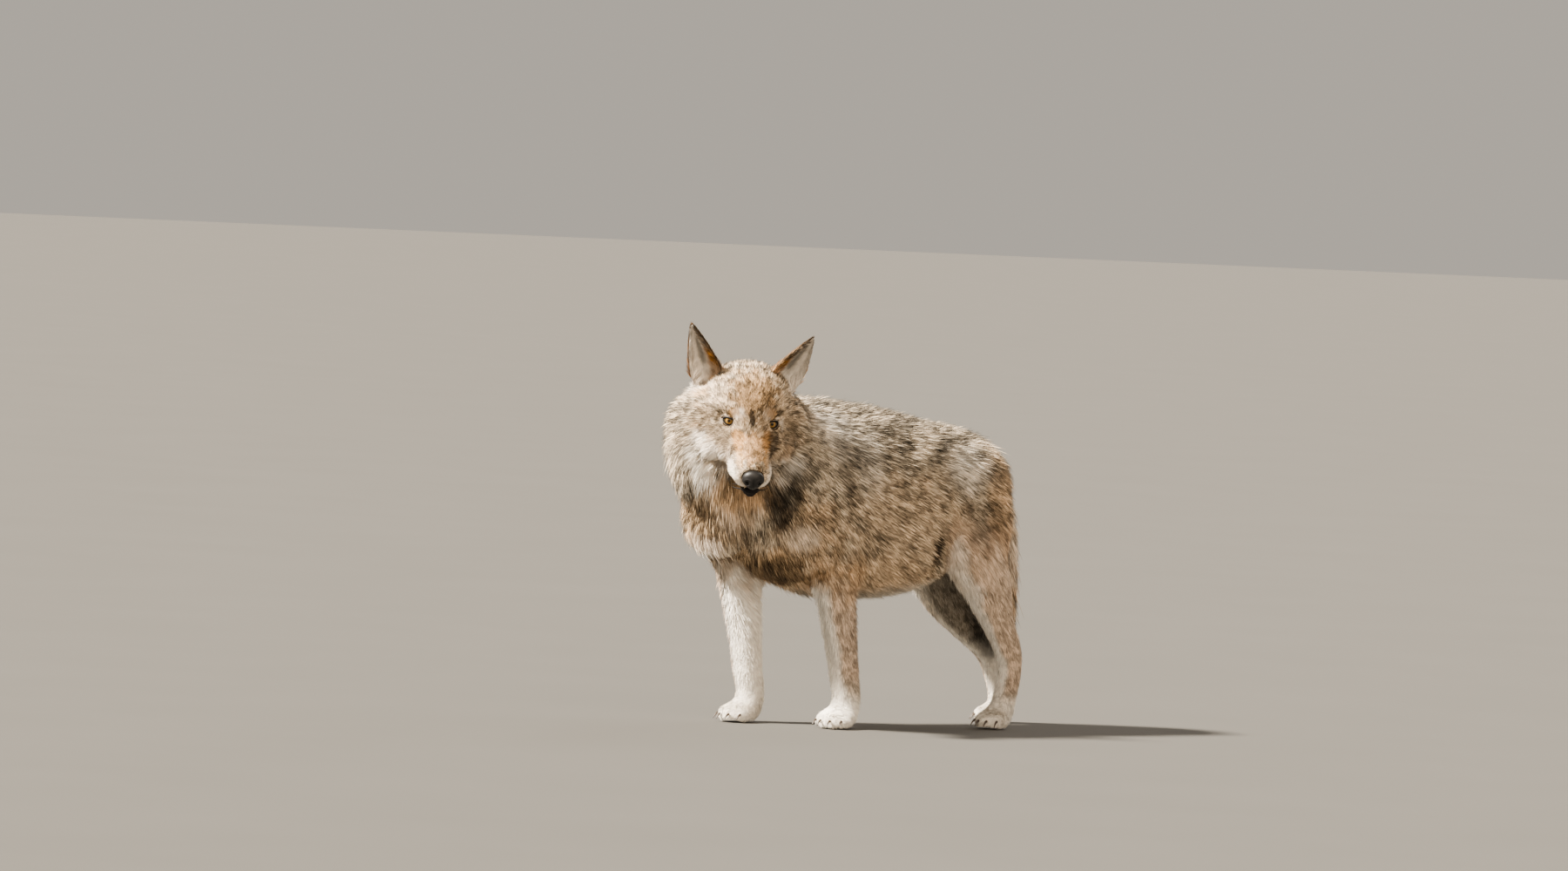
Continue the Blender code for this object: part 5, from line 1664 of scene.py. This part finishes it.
def make_nose():
    """The nose pad: narrower below, flat in front, with nostrils, the slits beside them and a groove."""
    points, faces = globe(72, 96)
    x, y, z = points.T
    front = ease(-0.1, 0.5, y)
    wide = 1 + 0.06 * z - 0.32 * np.maximum(-z, 0) ** 1.6
    swell = np.column_stack([wide, np.ones(len(x)), 1 + 0.05 * y])
    shape = points * NOSE_RADII * swell
    shape[:, 1] *= 1 - 0.15 * front * (1 - z ** 2)
    dent = 0.0016 * np.exp(-(x / 0.055) ** 2) * ease(0.35, -0.15, z)
    for side in SIDES:
        nostril = ((x - side * 0.56) / 0.14) ** 2 + ((z + 0.22) / 0.17) ** 2
        slit = ((x - side * 0.82) / 0.22) ** 2 + ((z + 0.40) / 0.10) ** 2
        rim = ((x - side * 0.54) / 0.34) ** 2 + ((z + 0.20) / 0.38) ** 2
        dent += 0.0070 * np.exp(-nostril ** 1.6) + 0.0055 * np.exp(-slit)
        dent -= 0.0005 * np.exp(-(rim - 1) ** 2 / 0.10)
    shape[:, 1] -= dent * front
    turn = np.array(Matrix.Rotation(NOSE_TILT, 3, "X"))
    placed = from_head(shape @ turn.T + NOSE_AT)
    return mesh_piece("nose_pad", placed, facing_out(placed, faces))


CLAW_LENGTH = 0.013


def make_claws():
    """Four curved claws on each paw, out of the ends of the toes."""
    parts = []
    t = np.linspace(0, 1, 9)
    for place, width, length in (paw for side in SIDES for paw in paw_frames(side)):
        place = np.array(place)
        for across, ahead, fan in ((-0.38, 0.56, 0.14), (-0.14, 0.72, 0.04), (0.14, 0.72, -0.04),
                                   (0.38, 0.56, -0.14)):
            reach = CLAW_LENGTH * t
            line = np.column_stack([width * across - fan * reach, -length * ahead - reach,
                                    0.0175 + 0.001 * t - 0.0125 * t ** 1.8])
            line = line @ place[:3, :3].T + place[:3, 3]
            parts.append(tube(line, 0.0024 * (1 - t) ** 0.6 * (1 - 0.15 * t) + 0.0003, 10))
    return mesh_piece("claws", *joined(parts))


def make_whiskers(surface):
    """Whiskers in three rows out of each side of the muzzle, as thin tapering bristles that sag."""
    points, _, tree = surface
    draws = np.random.default_rng(11)
    parts = []
    t = np.linspace(0, 1, 7)[:, None]
    for side in SIDES:
        for k in range(0, 15, 2):
            spot = (side * (0.030 + 0.003 * (k % 2)), 0.108 - 0.0085 * (k % 5), -0.050 - 0.0075 * (k // 5))
            start = points[tree.find(from_head(spot))[1]]
            reach = draws.uniform(0.030, 0.052)
            way = unit(HEAD_AXES @ np.array((side * 0.9, -0.55, -0.20)) + draws.normal(0, 0.10, 3))
            line = start + way * reach * t + np.array((0, 0, -1.0)) * (0.18 * reach) * t ** 2
            parts.append(tube(line, 0.00020 * (1 - t[:, 0]) + 0.00005, 4))
    return mesh_piece("whiskers", *joined(parts))


# ---------------------------------------------------------------- assembly
def finish_piece(obj, material, slot, *nodes):
    """Gives a piece its material, and lets it replace some of the solids. The slot is not used."""
    obj.data.materials.append(material)
    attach(obj, "root")
    if nodes:
        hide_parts(*nodes)


FLESH = ["head", "lower_jaw", "neck", "trunk", "tail"]
for name in SIDES.values():
    FLESH += [stem + name for stem in ("ear_", "fore_leg_", "fore_paw_", "thigh_", "hind_leg_", "hind_paw_")]

LONG_ZONES = ("neck", "breast", "tail")      # their tufts bend at two joints, the others' at one
ZONE_SLOTS = {"face": "head_coat", "crown": "head_coat", "neck": "neck_coat", "breast": "neck_coat",
              "back": "body_coat", "flank": "body_coat", "haunch": "thigh_coat", "fore_leg": "fore_leg_coat",
              "hind_leg": "hind_leg_coat", "tail": "tail_coat", "ear": "ear_coat"}


def build_skin(parts, channels):
    """The one skin of all parts, with its markings, an even tone of hair, and where it is bare."""
    points, faces, first, second, start = [], [], [], [], 0
    for part, ways in zip(parts, channels):
        count = len(part["points"])
        middling = np.full(count, 0.5)
        points.append(part["points"])
        faces.append(part["faces"] + start)
        first.append(np.column_stack([ways[k] for k in ("pale", "rust", "dark", "grizzle")]))
        second.append(np.column_stack([np.full(count, 0.4), middling, ways["warm"], part["bare"]]))
        start += count
    skin = mesh_piece("skin", *(np.concatenate(rows) for rows in (points, faces, first, second)))
    finish_piece(skin, skin_material(), "body_coat", *FLESH)


def build_coat(grown):
    """The tufts of all parts, in one piece for each zone and side."""
    fur = fur_material()
    tufts = {key: np.concatenate([g[key] for g in grown]) for key in grown[0] if key != "channels"}
    tufts["channels"] = {k: np.concatenate([g["channels"][k] for g in grown]) for k in grown[0]["channels"]}
    for index, zone in enumerate(ZONES):
        for left, side in ((True, "left"), (False, "right")):
            chosen = np.flatnonzero((tufts["zone"] == index) & (tufts["left"] == left))
            coat = tuft_mesh(f"coat_{zone}_{side}", tufts, chosen, 2 if zone in LONG_ZONES else 1)
            finish_piece(coat, fur, ZONE_SLOTS[zone])


def build_wolf():
    """The skin, its coat and all the bare pieces."""
    parts = [body_skin(), tail_skin(), ear_skin(LEFT), ear_skin(RIGHT)]
    channels, grown = [], []
    for part in parts:
        hair_middles = part["outer"] + part["lie"] * part["sizes"][:, :1] * 0.55
        ways = markings(hair_middles, part["normals"])
        if "within" in part:
            ways = ear_colours(part, ways)
        channels.append(ways)
        grown.append(grow(part, ways))
    build_skin(parts, channels)
    build_coat(grown)
    body = parts[0]
    surface = (body["points"], body["normals"], tree_of(body["points"]))
    lips = lip_material()
    for side, name in SIDES.items():
        finish_piece(make_eye(side), eye_material(), "eye", "eye_" + name)
    finish_piece(make_lids(), lips, "nose_pad")
    finish_piece(make_lips(surface), lips, "nose_pad")
    finish_piece(make_nose(), nose_material(), "nose_pad", "nose")
    finish_piece(make_claws(), claw_material(), "paw_coat")
    finish_piece(make_whiskers(surface), whisker_material(), "head_coat")


def build_studio():
    """A grey floor, a warm key from ahead and above, a weak fill and rim light, and a pale sky all round."""
    scene = bpy.context.scene
    mesh = bpy.data.meshes.new("floor")
    mass = bmesh.new()
    bmesh.ops.create_grid(mass, x_segments=1, y_segments=1, size=60)
    mass.to_mesh(mesh)
    mass.free()
    floor = bpy.data.objects.new("floor", mesh)
    mesh.materials.append(floor_material())
    scene.collection.objects.link(floor)
    world = bpy.data.worlds.new("studio")
    scene.world = world
    world.use_nodes = True
    sky = world.node_tree.nodes["Background"]
    sky.inputs["Color"].default_value = linear("#f2e8d9")
    sky.inputs["Strength"].default_value = 0.58
    for name, way, energy, spread_deg, colour in (
            ("key", (-0.22, -0.84, 0.90), 27.0, 6, "#fff3e2"),
            ("fill", (1.0, -0.25, 0.45), 2.0, 60, "#ffe6c8"),
            ("rim", (-0.3, 1.0, 0.8), 1.4, 40, "#fff6ea")):
        lamp = bpy.data.lights.new(name, "SUN")
        lamp.energy = energy
        lamp.angle = math.radians(spread_deg)
        lamp.color = linear(colour)[:3]
        obj = bpy.data.objects.new(name, lamp)
        obj.rotation_euler = Vector(way).to_track_quat("Z", "Y").to_euler()
        scene.collection.objects.link(obj)


CAMERA_AT = (14.404, -10.794, 1.2155)


def build_camera():
    """A long lens, low, off the wolf's left front, rolled a little."""
    back = view_back()
    turn, roll = math.radians(VIEW_TURN), math.radians(VIEW_ROLL)
    right = Vector((math.cos(turn), math.sin(turn), 0.0))
    up = back.cross(right)
    across = right * math.cos(roll) + up * math.sin(roll)
    rise = up * math.cos(roll) - right * math.sin(roll)
    camera = bpy.data.cameras.new("camera")
    camera.lens = 200
    camera.sensor_width = 36
    camera.clip_end = 300
    obj = bpy.data.objects.new("camera", camera)
    matrix = Matrix((across, rise, back)).transposed().to_4x4()
    matrix.translation = Vector(CAMERA_AT) - Vector(MIDDLE)
    obj.matrix_world = matrix
    bpy.context.scene.collection.objects.link(obj)
    bpy.context.scene.camera = obj


build_camera()
build_studio()
build_wolf()
